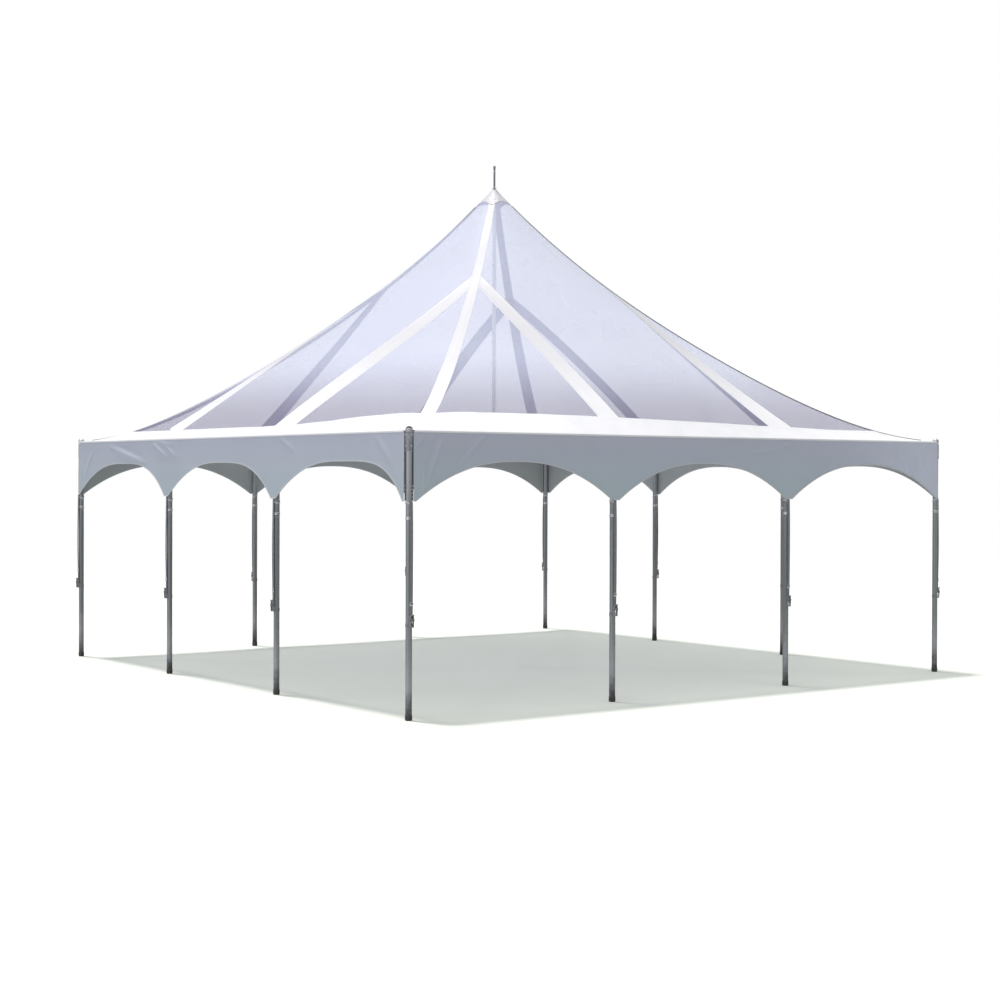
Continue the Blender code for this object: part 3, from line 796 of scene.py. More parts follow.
class Palette:
    """Every finish of the marquee, made once."""

    def __init__(self) -> None:
        """Make the shared effects and the materials."""
        effects = Effects()
        self.tube = Metal("leg aluminium", (0.28, 0.295, 0.295), 0.42, metallic=0.45,
                          dull=(0.16, 0.17, 0.17), bright=(0.42, 0.43, 0.44),
                          dirt_top=0.30, dirt=(0.045, 0.045, 0.04)).make(effects)
        self.rail = Metal("rail aluminium", (0.36, 0.37, 0.38), 0.36, metallic=0.7,
                          dull=(0.24, 0.25, 0.26), bright=(0.55, 0.56, 0.57), drawn=False,
                          grain_scale=260.0).make(effects)
        self.casting = Metal("cast aluminium", (0.30, 0.315, 0.34), 0.40, metallic=0.6,
                             dull=(0.20, 0.21, 0.23), bright=(0.55, 0.56, 0.57), drawn=False,
                             grain_scale=420.0, relief=0.0005).make(effects)
        self.steel = Metal("zinc plated steel", (0.58, 0.59, 0.58), 0.30, metallic=0.95,
                           dull=(0.35, 0.35, 0.33), bright=(0.8, 0.8, 0.8), drawn=False,
                           grain_scale=800.0).make(effects)
        self.dark_steel = Metal("dark ratchet steel", (0.07, 0.075, 0.08), 0.42, metallic=0.6,
                                dull=(0.12, 0.12, 0.12), bright=(0.35, 0.35, 0.36), drawn=False,
                                grain_scale=800.0).make(effects)
        self.rope = Metal("galvanised rope", (0.46, 0.47, 0.48), 0.38, metallic=0.85,
                          dull=(0.26, 0.26, 0.26), bright=(0.6, 0.6, 0.6), drawn=False,
                          grain_scale=1500.0).make(effects)
        self.mast_paint = Metal("white mast paint", (0.96, 0.96, 0.97), 0.75, metallic=0.0,
                                dull=(0.92, 0.92, 0.94), bright=(0.97, 0.97, 0.97)).make(effects)
        # The clear vinyl's dark low colour is painted shade along the lower roof.
        self.clear = ClearVinyl("clear roof vinyl", (0.77, 0.81, 1.0), 0.34,
                                low_colour=(0.36, 0.35, 0.50), low_z=2.36, high_z=3.00,
                                clear=0.74).make(effects)
        # Painted shade: the white vinyl darkens from its eave colour up towards the peak, to hold back the strong
        # light on the upper roof.
        self.white = CoatedVinyl("white roof vinyl", (0.62, 0.615, 0.64), 0.45,
                                 low_colour=(0.85, 0.85, 0.87), low_z=2.2, high_z=3.3,
                                 soil=(0.66, 0.66, 0.69), soil_share=0.2, crease=0.001,
                                 gathered_z=4.0, shade=0.06).make(effects)
        # Painted shade: the white vinyl's inner face is given a dark, warm colour for the shade it lies in.
        self.underside_painted_shade = CoatedVinyl("roof vinyl inner face", (0.46, 0.42, 0.43), 0.6,
                                     low_colour=(0.50, 0.47, 0.48), low_z=2.2, high_z=3.3,
                                     soil=(0.42, 0.39, 0.40), soil_share=0.2, crease=0.001,
                                     shade=0.06).make(effects)
        # Painted shade: the white valance vinyl is given a grey-lavender colour for the shade its upright faces
        # stand in, greener low down, with painted light as a paler lavender towards the +x end.
        self.valance = CoatedVinyl("valance vinyl", (0.49, 0.52, 0.61), 0.42,
                                   low_colour=(0.46, 0.54, 0.585), low_z=1.68, high_z=2.2,
                                   soil=(0.43, 0.46, 0.51), soil_share=0.12, crease=0.0008,
                                   end_painted_light=(0.61, 0.64, 0.76)).make(effects)
        # Painted shade: the valance's inner face is given a grey-green colour for the shade inside the marquee.
        self.lining_painted_shade = CoatedVinyl("valance inner face", (0.50, 0.53, 0.52), 0.5,
                                  low_colour=(0.48, 0.52, 0.50), low_z=1.68, high_z=2.2,
                                  soil=(0.40, 0.42, 0.40), soil_share=0.2, crease=0.0008).make(effects)
        self.binding = CoatedVinyl("hem binding", (0.57, 0.59, 0.63), 0.50,
                                   low_colour=(0.56, 0.60, 0.61), low_z=1.68, high_z=2.2,
                                   soil=(0.46, 0.48, 0.49), soil_share=0.2, crease=0.0008).make(effects)
        # Painted shade: grey cord for the shaded hem of a hip band seen edge-on.
        self.shade_cord = Moulded("grey edge welt", (0.24, 0.235, 0.225), 0.55,
                            scuff=(0.36, 0.36, 0.35), scuff_share=0.3).make(effects)
        self.thread = Webbing("sewing thread", (0.78, 0.79, 0.80), 0.7, ribs=6000.0,
                              shade=(0.6, 0.6, 0.62)).make(effects)
        self.strap = Webbing("grey webbing", (0.30, 0.31, 0.32), 0.75,
                             shade=(0.18, 0.19, 0.20)).make(effects)
        self.pale_strap = Webbing("pale webbing", (0.72, 0.73, 0.74), 0.75,
                                  shade=(0.5, 0.51, 0.52)).make(effects)
        self.rubber = Moulded("black rubber", (0.035, 0.036, 0.036), 0.62,
                              scuff=(0.16, 0.16, 0.15)).make(effects)
        # Dark lacing cord, which is also painted shade for the gap between the skirts at the corners.
        self.lacing_and_gap_shade = Moulded("dark lacing", (0.05, 0.05, 0.075), 0.55,
                                 scuff=(0.12, 0.12, 0.14)).make(effects)


@dataclass(frozen=True)
class RoofForm:
    """The stretched roof's outer face, over the plan."""

    plan: Plan
    peak_z: float = 4.75
    sag_slope: float = 0.316
    sag_curve: float = 0.35
    ridge_lift: float = 0.12
    ridge_sharpness: float = 4.0
    knob_clearance: float = 0.044
    ripple: float = 0.0020
    peak_folds: int = 22

    def height(self, x: float, y: float) -> float:
        """Height of the outer face, with its slight unevenness.

        Args:
            x: Place along the front side.
            y: Place along the right side.

        Returns:
            The height above the ground.
        """
        u = min(abs(x) / self.plan.fabric_half, 1.0)
        v = min(abs(y) / self.plan.fabric_half, 1.0)
        q = math.sqrt(u * u + v * v - u * u * v * v)
        sag = (1 - q) * (1 - self.sag_slope * q + self.sag_curve * q * q)
        ridge = (min(u, v) / max(u, v)) ** self.ridge_sharpness if max(u, v) > 0 else 0.0
        rise = (self.peak_z - self.plan.eave_z) * sag + self.ridge_lift * ridge * q * q * (1 - q)
        return self.plan.eave_z + rise + self.unevenness(x, y, q)

    def unevenness(self, x: float, y: float, q: float) -> float:
        """Shallow billows, and folds that fan out from the pin and fade down the slope."""
        free = min(1.0, 12 * q * (1 - q))
        broad = noise.noise(Vector((x * 0.9, y * 0.9, 3.7)))
        around = math.atan2(y, x)
        folds = math.sin(self.peak_folds * around + 2.0 * math.sin(3 * around))
        return self.ripple * (broad * free + 0.9 * folds * math.exp(-q / 0.06) * min(1.0, 30 * q))

    def corner_reach(self, reach: float) -> float:
        """How far along a side the fabric goes at a distance from the middle, short of the knob."""
        knob = self.plan.half_span
        if reach <= knob - self.knob_clearance / math.sqrt(2):
            return reach
        return knob - math.sqrt(max(0.0, self.knob_clearance ** 2 - (reach - knob) ** 2))

    def point(self, x: float, y: float, depth: float) -> Vector:
        """Return the point that lies a little under the outer face."""
        return Vector((x, y, self.height(x, y) - depth))


@dataclass(frozen=True)
class Layer:
    """How deep a sheet of the roof lies under the outer face, and how thick it is."""

    depth: float
    wall: float = 0.0014


def closed_sheet(shape: Shape, points: Sequence[Vector], faces: Sequence[Sequence[int]],
                 under: Callable[[Vector], Vector], finish: int = 0, inner: int = 0) -> None:
    """Add a thin sheet with an outer face, an inner face and its cut edges.

    Args:
        shape: The shape that takes the sheet.
        points: Points of the outer face.
        faces: Faces of the outer face, all turned the same way.
        under: Gives the inner face's point for a point of the outer face.
        finish: Index of the outer face's finish.
        inner: Index of the inner face's finish.
    """
    size = len(points)
    every = list(points) + [under(point) for point in points]
    walls: dict[tuple[int, int], tuple[int, int]] = {}
    for face in faces:
        for a, b in zip(face, tuple(face[1:]) + (face[0],)):
            if (b, a) in walls:
                del walls[(b, a)]
            else:
                walls[(a, b)] = (a, b)
    closed = [tuple(face) for face in faces]
    closed += [(a, a + size, b + size, b) for a, b in walls]
    shape.add(every, closed, None, finish)
    first = len(shape.points) - len(every)
    for face in faces:
        shape.faces.append(tuple(first + size + index for index in reversed(face)))
        shape.finish.append(inner)


def grid_faces(rows: int, columns: int, ring: bool = False) -> list[tuple[int, ...]]:
    """Return the quads of a grid of points stored row by row."""
    faces = []
    last = columns if ring else columns - 1
    for j in range(rows - 1):
        for k in range(last):
            n = (k + 1) % columns
            faces.append((j * columns + k, j * columns + n, (j + 1) * columns + n, (j + 1) * columns + k))
    return faces


@dataclass(frozen=True)
class SideBand:
    """One white band from a hip down to a leg, on the front side's own coordinates."""

    sign: int
    junction: float = 0.80
    foot: float = 1.016
    bow: float = 0.05
    half_top: float = 0.055
    half_foot: float = 0.10

    def centre(self, plan: Plan, share: float) -> Point:
        """Return the band's middle at a share of its way from the hip to the eave."""
        start_x, start_y = self.junction, -self.junction
        end_x, end_y = self.foot, -plan.fabric_half
        x = start_x + (end_x - start_x) * share - self.bow * 4 * share * (1 - share)
        return self.sign * x, start_y + (end_y - start_y) * share

    def half(self, share: float) -> float:
        """Return half the band's width there."""
        return self.half_top + (self.half_foot - self.half_top) * share


@dataclass
class Roof:
    """The canopy: one sheet of clear vinyl, its white bands and the cap round the pin."""

    plan: Plan
    palette: Palette
    rows: int = 54
    columns: int = 84
    row_power: float = 1.15
    cap_reach: float = 0.145
    cap_hole: float = 0.0112
    cap_sides: int = 96
    hip_half_top: float = 0.033
    hip_half_foot: float = 0.060
    hem_width: float = 0.016
    hem_lift: float = 0.0007
    welt_radius: float = 0.0036
    eave_lip: float = 0.016
    clear_layer: Layer = Layer(0.0036)
    side_layer: Layer = Layer(0.0020)
    hip_layer: Layer = Layer(0.0010)
    eave_layer: Layer = Layer(0.0002)
    cap_layer: Layer = Layer(-0.0012, 0.0020)
    side_bands: dict[Side, tuple[SideBand, SideBand]] = field(default_factory=lambda: {
        Side.FRONT: (SideBand(-1, foot=0.93, bow=-0.02, half_top=0.050, half_foot=0.110),
                     SideBand(1, foot=1.10, bow=0.13, half_foot=0.145)),
        Side.RIGHT: (SideBand(-1), SideBand(1)),
        Side.BACK: (SideBand(-1), SideBand(1)),
        Side.LEFT: (SideBand(-1, foot=1.11, bow=0.17, half_top=0.075, half_foot=0.17),
                    SideBand(1, bow=-0.08, half_top=0.055, half_foot=0.170)),
    })
    front_eave: tuple[tuple[float, ...], tuple[float, ...]] = (
        (-1.0, -0.98, -0.90, -0.84, -0.79, -0.71, -0.64, -0.50, -0.35, -0.21, -0.06, 0.25, 0.57,
         0.70, 0.80, 0.88, 0.94, 1.0),
        (0.560, 0.547, 0.482, 0.434, 0.387, 0.336, 0.299, 0.245, 0.205, 0.180, 0.160, 0.140, 0.155,
         0.190, 0.245, 0.315, 0.380, 0.450))
    left_eave: tuple[tuple[float, ...], tuple[float, ...]] = (
        (-1.0, -0.94, -0.88, -0.80, -0.70, -0.57, -0.44, -0.17, 0.21, 0.42, 0.57, 0.66, 0.70, 0.79,
         0.87, 0.94, 1.0),
        (0.450, 0.380, 0.315, 0.240, 0.180, 0.140, 0.115, 0.095, 0.095, 0.125, 0.177, 0.240, 0.271,
         0.345, 0.435, 0.509, 0.560))
    far_eave: tuple[tuple[float, ...], tuple[float, ...]] = (
        (-1.0, -0.94, -0.88, -0.80, -0.65, -0.50, -0.25, 0.25, 0.50, 0.65, 0.80, 0.88, 0.94, 1.0),
        (0.450, 0.390, 0.325, 0.250, 0.200, 0.175, 0.155, 0.155, 0.175, 0.200, 0.250, 0.325, 0.390,
         0.450))
    form: RoofForm = field(init=False)
    faces: list[bpy.types.Material] = field(init=False)

    def __post_init__(self) -> None:
        """Settle the roof's form and the white vinyl's two faces."""
        self.form = RoofForm(self.plan)
        self.faces = [self.palette.white, self.palette.underside_painted_shade]

    def build(self) -> None:
        canopy = self.clear_sheet()
        bands = [self.hip_band(corner) for corner in Corner]
        # Painted shade: grey lines on the two hips that stand at the outline from the camera.
        bands += [self.hip_edge_shading(corner) for corner in (Corner.BACK_LEFT, Corner.FRONT_RIGHT)]
        for side in Side:
            bands += [self.side_band(side, band) for band in self.side_bands[side]]
            bands.append(self.eave_band(side))
        bands.append(self.cap())
        gore = self.gore_height()

    def gore_height(self) -> float:
        """Length of the cloth up the middle of a side, from the eave to the pin."""
        steps = 60
        line = [self.form.point(0.0, -self.plan.fabric_half * k / steps, 0.0) for k in range(steps + 1)]
        return sum((b - a).length for a, b in zip(line, line[1:]))

    def lower(self, layer: Layer) -> Callable[[Vector], Vector]:
        """Return the step from a layer's outer face to its inner face."""
        return lambda point: point - Vector((0.0, 0.0, layer.wall))

    def clear_sheet(self) -> bpy.types.Object:
        """Build the one sheet of clear vinyl over all four sides."""
        plan, layer = self.plan, self.clear_layer
        points: list[Vector] = []
        known: dict[tuple[int, int], int] = {}
        faces = []
        start = self.cap_reach * 0.55 / plan.fabric_half
        for side in Side:
            grid = []
            for j in range(self.rows + 1):
                reach = plan.fabric_half * (start + (1 - start) * (j / self.rows) ** self.row_power)
                edge = self.form.corner_reach(reach)
                row = []
                for k in range(self.columns + 1):
                    place = side.turn @ Vector((edge * (2 * k / self.columns - 1), -reach, 0.0))
                    key = (round(place.x * 2e4), round(place.y * 2e4))
                    if key not in known:
                        known[key] = len(points)
                        points.append(self.form.point(place.x, place.y, layer.depth))
                    row.append(known[key])
                grid.append(row)
            for near, far in zip(grid, grid[1:]):
                for k in range(self.columns):
                    faces.append((near[k], near[k + 1], far[k + 1], far[k]))
        shape = Shape()
        closed_sheet(shape, points, faces, self.lower(layer))
        nodes = ["roof_panel_" + side.label for side in Side]
        return shape.piece("roof_canopy", [self.palette.clear], "clear_vinyl", 60.0, nodes)

    def across(self, half: float) -> list[tuple[float, float]]:
        """Places across a band and how far its welded hems stand up there."""
        inner = half - self.hem_width
        middle = [inner * (2 * k / 6 - 1) for k in range(1, 6)]
        places = [(-half, 0.0), (-half + 0.002, self.hem_lift), (-inner - 0.002, self.hem_lift),
                  (-inner, 0.0)]
        places += [(place, 0.0) for place in middle]
        places += [(inner, 0.0), (inner + 0.002, self.hem_lift), (half - 0.002, self.hem_lift), (half, 0.0)]
        return places

    def strip(self, name: str, centres: Sequence[Point], halves: Sequence[float],
              layer: Layer) -> bpy.types.Object:
        """Lay a white band on the roof along a line of the plan.

        Args:
            name: The piece's name.
            centres: Plan points of the band's middle.
            halves: Half the band's width at each of them.
            layer: The layer that the band lies in.

        Returns:
            The band.
        """
        points: list[Vector] = []
        for index, (x, y) in enumerate(centres):
            ahead = centres[min(index + 1, len(centres) - 1)]
            behind = centres[max(index - 1, 0)]
            along = Vector((ahead[0] - behind[0], ahead[1] - behind[1])).normalized()
            for place, lift in self.across(halves[index]):
                px, py = x - along.y * place, y + along.x * place
                points.append(self.form.point(px, py, layer.depth - lift))
        columns = len(self.across(halves[0]))
        shape = Shape()
        closed_sheet(shape, points, grid_faces(len(centres), columns), self.lower(layer), 0, 1)
        return shape.piece(name, self.faces, "white_vinyl", 60.0)

    def hip_band(self, corner: Corner) -> bpy.types.Object:
        """Lay the band that runs down one hip to its corner."""
        x_sign, y_sign = corner.signs
        start, end, steps = self.cap_reach * 0.6, self.plan.half_span - 0.042, 84
        centres, halves = [], []
        for k in range(steps + 1):
            share = k / steps
            reach = start + (end - start) * share
            centres.append((x_sign * reach, y_sign * reach))
            halves.append(self.hip_half_top + (self.hip_half_foot - self.hip_half_top) * min(1.0, 1.6 * share))
        return self.strip("hip_band_" + corner.label, centres, halves, self.hip_layer)

    def hip_edge_shading(self, corner: Corner) -> bpy.types.Object:
        """Lay a thin grey cord along both edges of a hip's band. It is painted shade for the shaded hem seen
        edge-on where a hip stands at the outline, so it is laid only on those two hips.
        """
        x_sign, y_sign = corner.signs
        start, end, steps = self.cap_reach * 0.9, self.plan.half_span - 0.10, 90
        shape = Shape()
        for edge in (-1, 1):
            line = []
            for k in range(steps + 1):
                share = k / steps
                reach = start + (end - start) * share
                half = self.hip_half_top + (self.hip_half_foot - self.hip_half_top) * min(1.0, 1.6 * share)
                x, y = x_sign * (reach - edge * half * 0.7071), y_sign * (reach + edge * half * 0.7071)
                line.append(self.form.point(x, y, self.hip_layer.depth - self.welt_radius * 1.2))
            shape.swept(line, self.welt_radius, 8)
        return shape.piece("hip_welts_" + corner.label, [self.palette.shade_cord], "white_vinyl", 50.0)

    def side_band(self, side: Side, band: SideBand) -> bpy.types.Object:
        """Lay the band that runs from a hip down to a leg of one side."""
        steps = 52
        centres, halves = [], []
        for k in range(steps + 1):
            share = -0.01 + 0.975 * k / steps
            x, y = band.centre(self.plan, share)
            place = side.turn @ Vector((x, y, 0.0))
            centres.append((place.x, place.y))
            halves.append(band.half(share))
        name = "side_band_%s_%s" % (side.label, "left" if band.sign < 0 else "right")
        return self.strip(name, centres, halves, self.side_layer)

    def eave_width(self, side: Side, share: float) -> float:
        """Plan width of the eave band at a place from -1 to 1 along a side."""
        if side is Side.FRONT:
            shares, widths = self.front_eave
        elif side is Side.LEFT:
            shares, widths = self.left_eave
        else:
            shares, widths = self.far_eave
        return float(np.interp(share, shares, widths))

    def eave_band(self, side: Side) -> bpy.types.Object:
        """Lay the band along one eave, with its rolled lip over the valance's top."""
        plan, layer, steps = self.plan, self.eave_layer, 150
        lip = [(0.0030, self.eave_lip), (0.0032, 0.006), (0.0022, 0.0022)]
        ratios = [0.0, 0.06, 0.12, 0.2, 0.35, 0.5, 0.65, 0.8, 0.88, 0.9, 0.985, 1.0]
        lifts = [0.0, 0.0, 0.0, 0.0, 0.0, 0.0, 0.0, 0.0, 0.0, self.hem_lift, self.hem_lift, 0.0]
        points: list[Vector] = []
        for k in range(steps + 1):
            share = 2 * k / steps - 1
            width = self.eave_width(side, share)
            edge = self.form.corner_reach(plan.fabric_half)
            for out, drop in lip:
                rim = self.form.point(share * edge, -plan.fabric_half, layer.depth)
                points.append(side.turn @ (rim + Vector((0.0, -out, -drop))))
            for ratio, lift in zip(ratios, lifts):
                reach = plan.fabric_half - ratio * width
                x = share * self.form.corner_reach(reach)
                points.append(side.turn @ self.form.point(x, -reach, layer.depth - lift))
        columns = len(lip) + len(ratios)
        shape = Shape()
        inward = side.turn @ Vector((0.0, 0.0012, -0.0010))
        closed_sheet(shape, points, grid_faces(steps + 1, columns), lambda point: point + inward, 0, 1)
        return shape.piece("eave_band_" + side.label, self.faces, "white_vinyl", 60.0)

    def cap(self) -> bpy.types.Object:
        """Build the reinforced cap round the pin, square below with rounded corners."""
        rings = 16
        points: list[Vector] = []
        for j in range(rings + 1):
            share = j / rings
            for k in range(self.cap_sides):
                angle = 2 * math.pi * k / self.cap_sides
                c, s = math.cos(angle), math.sin(angle)
                square = (abs(c) ** 9 + abs(s) ** 9) ** (-1 / 9) * self.cap_reach
                radius = self.cap_hole + (square - self.cap_hole) * share
                lift = self.hem_lift if 0.84 < share < 0.97 else 0.0
                points.append(self.form.point(radius * c, radius * s, self.cap_layer.depth - lift))
        shape = Shape()
        closed_sheet(shape, points, grid_faces(rings + 1, self.cap_sides, True),
                     self.lower(self.cap_layer), 0, 1)
        washer = [(0.0108, -0.002), (0.024, -0.006), (0.024, -0.003), (0.0108, 0.002)]
        shape.turned(washer, 32, Matrix.Translation((0, 0, self.form.peak_z + 0.001)), 2)
        return shape.piece("roof_cap", self.faces + [self.palette.steel], "white_vinyl", 50.0,
                           ["peak_cap"])


@dataclass(frozen=True)
class Crease:
    """A soft fold in a valance: a line on its face, half its breadth and its height."""

    start: Point
    end: Point
    breadth: float
    height: float

    def lift(self, x: float, z: float) -> float:
        """Return how far the fold stands out at a point of the face."""
        ax, az = self.start
        bx, bz = self.end
        run = (bx - ax) ** 2 + (bz - az) ** 2
        share = ((x - ax) * (bx - ax) + (z - az) * (bz - az)) / run
        inside = min(1.0, max(0.0, share))
        near_x, near_z = ax + (bx - ax) * inside, az + (bz - az) * inside
        away = math.hypot(x - near_x, z - near_z) / self.breadth
        return self.height * math.exp(-away * away) * (0.35 + 0.65 * math.sin(math.pi * inside))


@dataclass
class Valances:
    """The four arched skirts below the eave, with bound hems and laced corners."""

    plan: Plan
    palette: Palette
    fine: tuple[int, int] = (620, 38)
    plain: tuple[int, int] = (330, 22)
    wall: float = 0.0014
    crown_z: float = 1.985
    arch_power: float = 2.3
    near_power: float = 4.8
    steep_power: float = 3.6
    hem_flat: float = 0.08
    corner_gap: float = 0.020
    stand_off: float = 0.0030
    seed: int = 11
    stitch_step: float = 0.0065
    welt_radius: float = 0.0085
    creases: dict[Side, tuple[Crease, ...]] = field(default_factory=lambda: {
        Side.FRONT: (
            Crease((-2.907, 2.205), (-3.006, 2.08), 0.012, 0.006),
            Crease((-2.735, 2.20), (-2.93, 1.76), 0.014, 0.008),
            Crease((-2.79, 2.20), (-2.90, 1.95), 0.011, -0.005),
            Crease((-2.345, 2.20), (-2.60, 1.95), 0.022, 0.007),
            Crease((-2.30, 2.20), (-2.50, 2.02), 0.018, -0.004),
            Crease((-2.93, 1.93), (-2.935, 1.76), 0.010, 0.006),
            Crease((-1.37, 2.195), (-1.25, 2.15), 0.012, 0.006),
            Crease((-1.19, 2.20), (-1.02, 2.08), 0.016, 0.007),
            Crease((-1.26, 2.16), (-1.20, 2.06), 0.014, -0.005),
            Crease((0.54, 2.085), (0.88, 2.12), 0.013, 0.009),
            Crease((0.86, 2.118), (1.14, 2.195), 0.013, 0.009),
            Crease((0.60, 2.06), (0.90, 2.095), 0.014, -0.004),
            Crease((2.50, 2.18), (2.68, 1.82), 0.016, 0.007),
            Crease((2.72, 2.20), (2.86, 1.90), 0.020, 0.005),
        ),
        Side.LEFT: (
            Crease((-2.25, 2.15), (-1.48, 1.99), 0.022, 0.009),
            Crease((-2.10, 2.17), (-1.55, 2.06), 0.018, -0.005),
            Crease((-1.30, 2.17), (-0.99, 2.04), 0.016, 0.008),
            Crease((-1.08, 2.17), (-0.83, 2.05), 0.014, 0.007),
            Crease((-1.20, 2.19), (-0.92, 2.16), 0.012, 0.005),
            Crease((-2.96, 1.80), (-2.94, 2.02), 0.016, 0.006),
            Crease((-2.86, 1.90), (-2.70, 2.10), 0.022, 0.005),
            Crease((1.15, 2.18), (1.35, 2.09), 0.018, 0.005),
            Crease((2.62, 2.19), (2.86, 1.96), 0.030, 0.005),
        ),
    })

    def build(self) -> None:
        """Build each side's skirt, its binding, its stitching and its corner edges."""
        for side in Side:
            folds = self.creases.get(side) or self.drawn_creases(side)
            skirt = self.skirt(side, folds)
            trims = [self.binding(side, folds), self.stitching(side, folds), self.edge_cords(side, folds)]
            self.flat_area()
        LOG.info("valance flat %.3f by %.3f m, area %.3f", 2 * self.end,
                 self.plan.valance_top_z - self.plan.valance_point_z, self.flat_area())

    @property
    def end(self) -> float:
        """Half the length of a skirt."""
        return self.plan.half_span - self.corner_gap

    def drawn_creases(self, side: Side) -> tuple[Crease, ...]:
        """Draw a few folds for a side that the photo doesn't show, near its legs and corners."""
        draw = random.Random(self.seed + side.value)
        folds = []
        for index in range(4):
            for _ in range(3):
                x = self.plan.leg_line(index) * 0.94 + draw.uniform(-0.25, 0.25)
                lean = draw.uniform(-0.22, 0.22)
                top = draw.uniform(2.12, 2.20)
                folds.append(Crease((x, top), (x + lean, top - draw.uniform(0.08, 0.30)),
                                    draw.uniform(0.012, 0.024), draw.choice((-1, 1)) * draw.uniform(0.003, 0.007)))
        return tuple(folds)

    def lower_edge(self, side: Side, x: float) -> float:
        """Height of the skirt's lower edge, arched between the legs.

        Args:
            side: The side, because the arch next to the near corner rises more steeply.
            x: Place along the side.

        Returns:
            The height above the ground.
        """
        plan = self.plan
        bay = min(2, max(0, int((x + plan.half_span) / plan.bay)))
        middle = (plan.leg_line(bay) + plan.leg_line(bay + 1)) / 2
        half = plan.bay / 2 - self.hem_flat / 2
        share = min(1.0, abs(x - middle) / half)
        power = self.arch_power
        if side is Side.LEFT and x > middle:
            power = self.near_power if bay == 2 else self.steep_power
        return self.crown_z - (self.crown_z - plan.valance_point_z) * share ** power

    def flat_area(self) -> float:
        """Area of one skirt, cut flat."""
        steps = 600
        total = 0.0
        for k in range(steps):
            x = self.end * (2 * (k + 0.5) / steps - 1)
            total += (self.plan.valance_top_z - self.lower_edge(Side.RIGHT, x)) * 2 * self.end / steps
        return total

    def stand(self, side: Side, folds: Sequence[Crease], x: float, z: float) -> float:
        """How far the skirt's outer face stands out from the inner face's plane."""
        top = self.plan.valance_top_z
        free = min(1.0, max(0.0, (top - z) / 0.035))
        hang = min(1.0, max(0.0, (top - z) / 0.30))
        broad = 0.0035 * noise.noise(Vector((x * 1.3, z * 1.1, side.value + 0.5)))
        fine = 0.0012 * noise.noise(Vector((x * 5.0 + z * 4.0, z * 2.0, side.value + 7.5)))
        fold = sum(crease.lift(x, z) for crease in folds)
        flare = 0.0030 * hang * hang
        return max(0.0012, self.stand_off + flare + free * (broad + fine + fold))

    def face_point(self, side: Side, folds: Sequence[Crease], x: float, z: float) -> Vector:
        """Return a point of a skirt's outer face, on the front side's coordinates."""
        return Vector((x, -self.plan.valance_inner - self.stand(side, folds, x, z), z))

    def skirt(self, side: Side, folds: Sequence[Crease]) -> bpy.types.Object:
        """Build one skirt as a thin sheet."""
        columns, rows = self.fine if side in self.creases else self.plain
        points: list[Vector] = []
        top = self.plan.valance_top_z - 0.0006
        for k in range(columns + 1):
            x = self.end * (2 * k / columns - 1)
            low = self.lower_edge(side, x)
            for j in range(rows + 1):
                z = low + (top - low) * (j / rows) ** 0.9
                points.append(side.turn @ self.face_point(side, folds, x, z))
        inward = side.turn @ Vector((0.0, self.wall * 0.8, 0.0))
        shape = Shape()
        closed_sheet(shape, points, grid_faces(columns + 1, rows + 1),
                     lambda point: point + inward, 0, 1)
        return shape.piece("skirt_" + side.label, [self.palette.valance, self.palette.lining_painted_shade],
                           "valance_vinyl", 60.0, ["valance_" + side.label])

    def hem_line(self, side: Side, folds: Sequence[Crease], lift: float, step: float) -> list[Vector]:
        """Return points along the lower edge, a little above it."""
        count = int(2 * self.end / step)
        line = []
        for k in range(count + 1):
            x = (self.end - 0.003) * (2 * k / count - 1)
            line.append(self.face_point(side, folds, x, self.lower_edge(side, x) + lift))
        return line

    def binding(self, side: Side, folds: Sequence[Crease]) -> bpy.types.Object:
        """Wrap the binding tape over the lower edge."""
        line = self.hem_line(side, folds, 0.0, 0.016)
        section = [(-0.0014, -0.0010), (0.0016, -0.0010), (0.0020, 0.0), (0.0020, 0.009),
                   (0.0016, 0.010), (-0.0012, 0.010), (-0.0018, 0.009), (-0.0018, 0.0)]
        shape = Shape()
        shape.extruded(line, section, side.turn)
        return shape.piece("skirt_binding_" + side.label, [self.palette.binding], "valance_vinyl", 50.0)

    def stitching(self, side: Side, folds: Sequence[Crease]) -> bpy.types.Object:
        """Sew the binding with one row of stitches along its upper edge."""
        line = self.hem_line(side, folds, 0.0075, self.stitch_step)
        shape = Shape()
        for a, b in zip(line, line[1:]):
            run = (b - a) * 0.34
            middle = (a + b) / 2 + Vector((0.0, -0.0026, 0.0))
            up = Vector((-run.z, 0.0, run.x)).normalized() * 0.0007
            out = Vector((0.0, -0.0007, 0.0))
            points = [middle - run - up, middle + run - up, middle + run + up, middle - run + up,
                      middle - run * 0.7 + out, middle + run * 0.7 + out]
            faces = [(0, 1, 5, 4), (1, 2, 5), (2, 3, 4, 5), (3, 0, 4), (3, 2, 1, 0)]
            shape.add(points, faces, side.turn)
        return shape.piece("skirt_stitching_" + side.label, [self.palette.thread], "valance_vinyl", 80.0)

    def edge_cords(self, side: Side, folds: Sequence[Crease]) -> bpy.types.Object:
        """Run a dark laced cord down each end of the skirt, with toggles along its foot. The cord is partly real
        lacing and partly painted shade: it is made wide to stand for the shade in the gap between skirts. The far
        ends also get a pale strip, which is painted light.
        """
        top, foot = self.plan.valance_top_z - 0.012, self.plan.valance_point_z + 0.006
        shape = Shape()
        for sign in (-1, 1):
            line = []
            for k in range(31):
                z = top + (foot - top) * k / 30
                here = self.face_point(side, folds, sign * self.end, z)
                line.append(here + Vector((sign * 0.0042, 0.0150, 0.0)))
            shape.swept(line, self.welt_radius, 12, side.turn)
            near = (side is Side.FRONT and sign < 0) or (side is Side.LEFT and sign > 0)
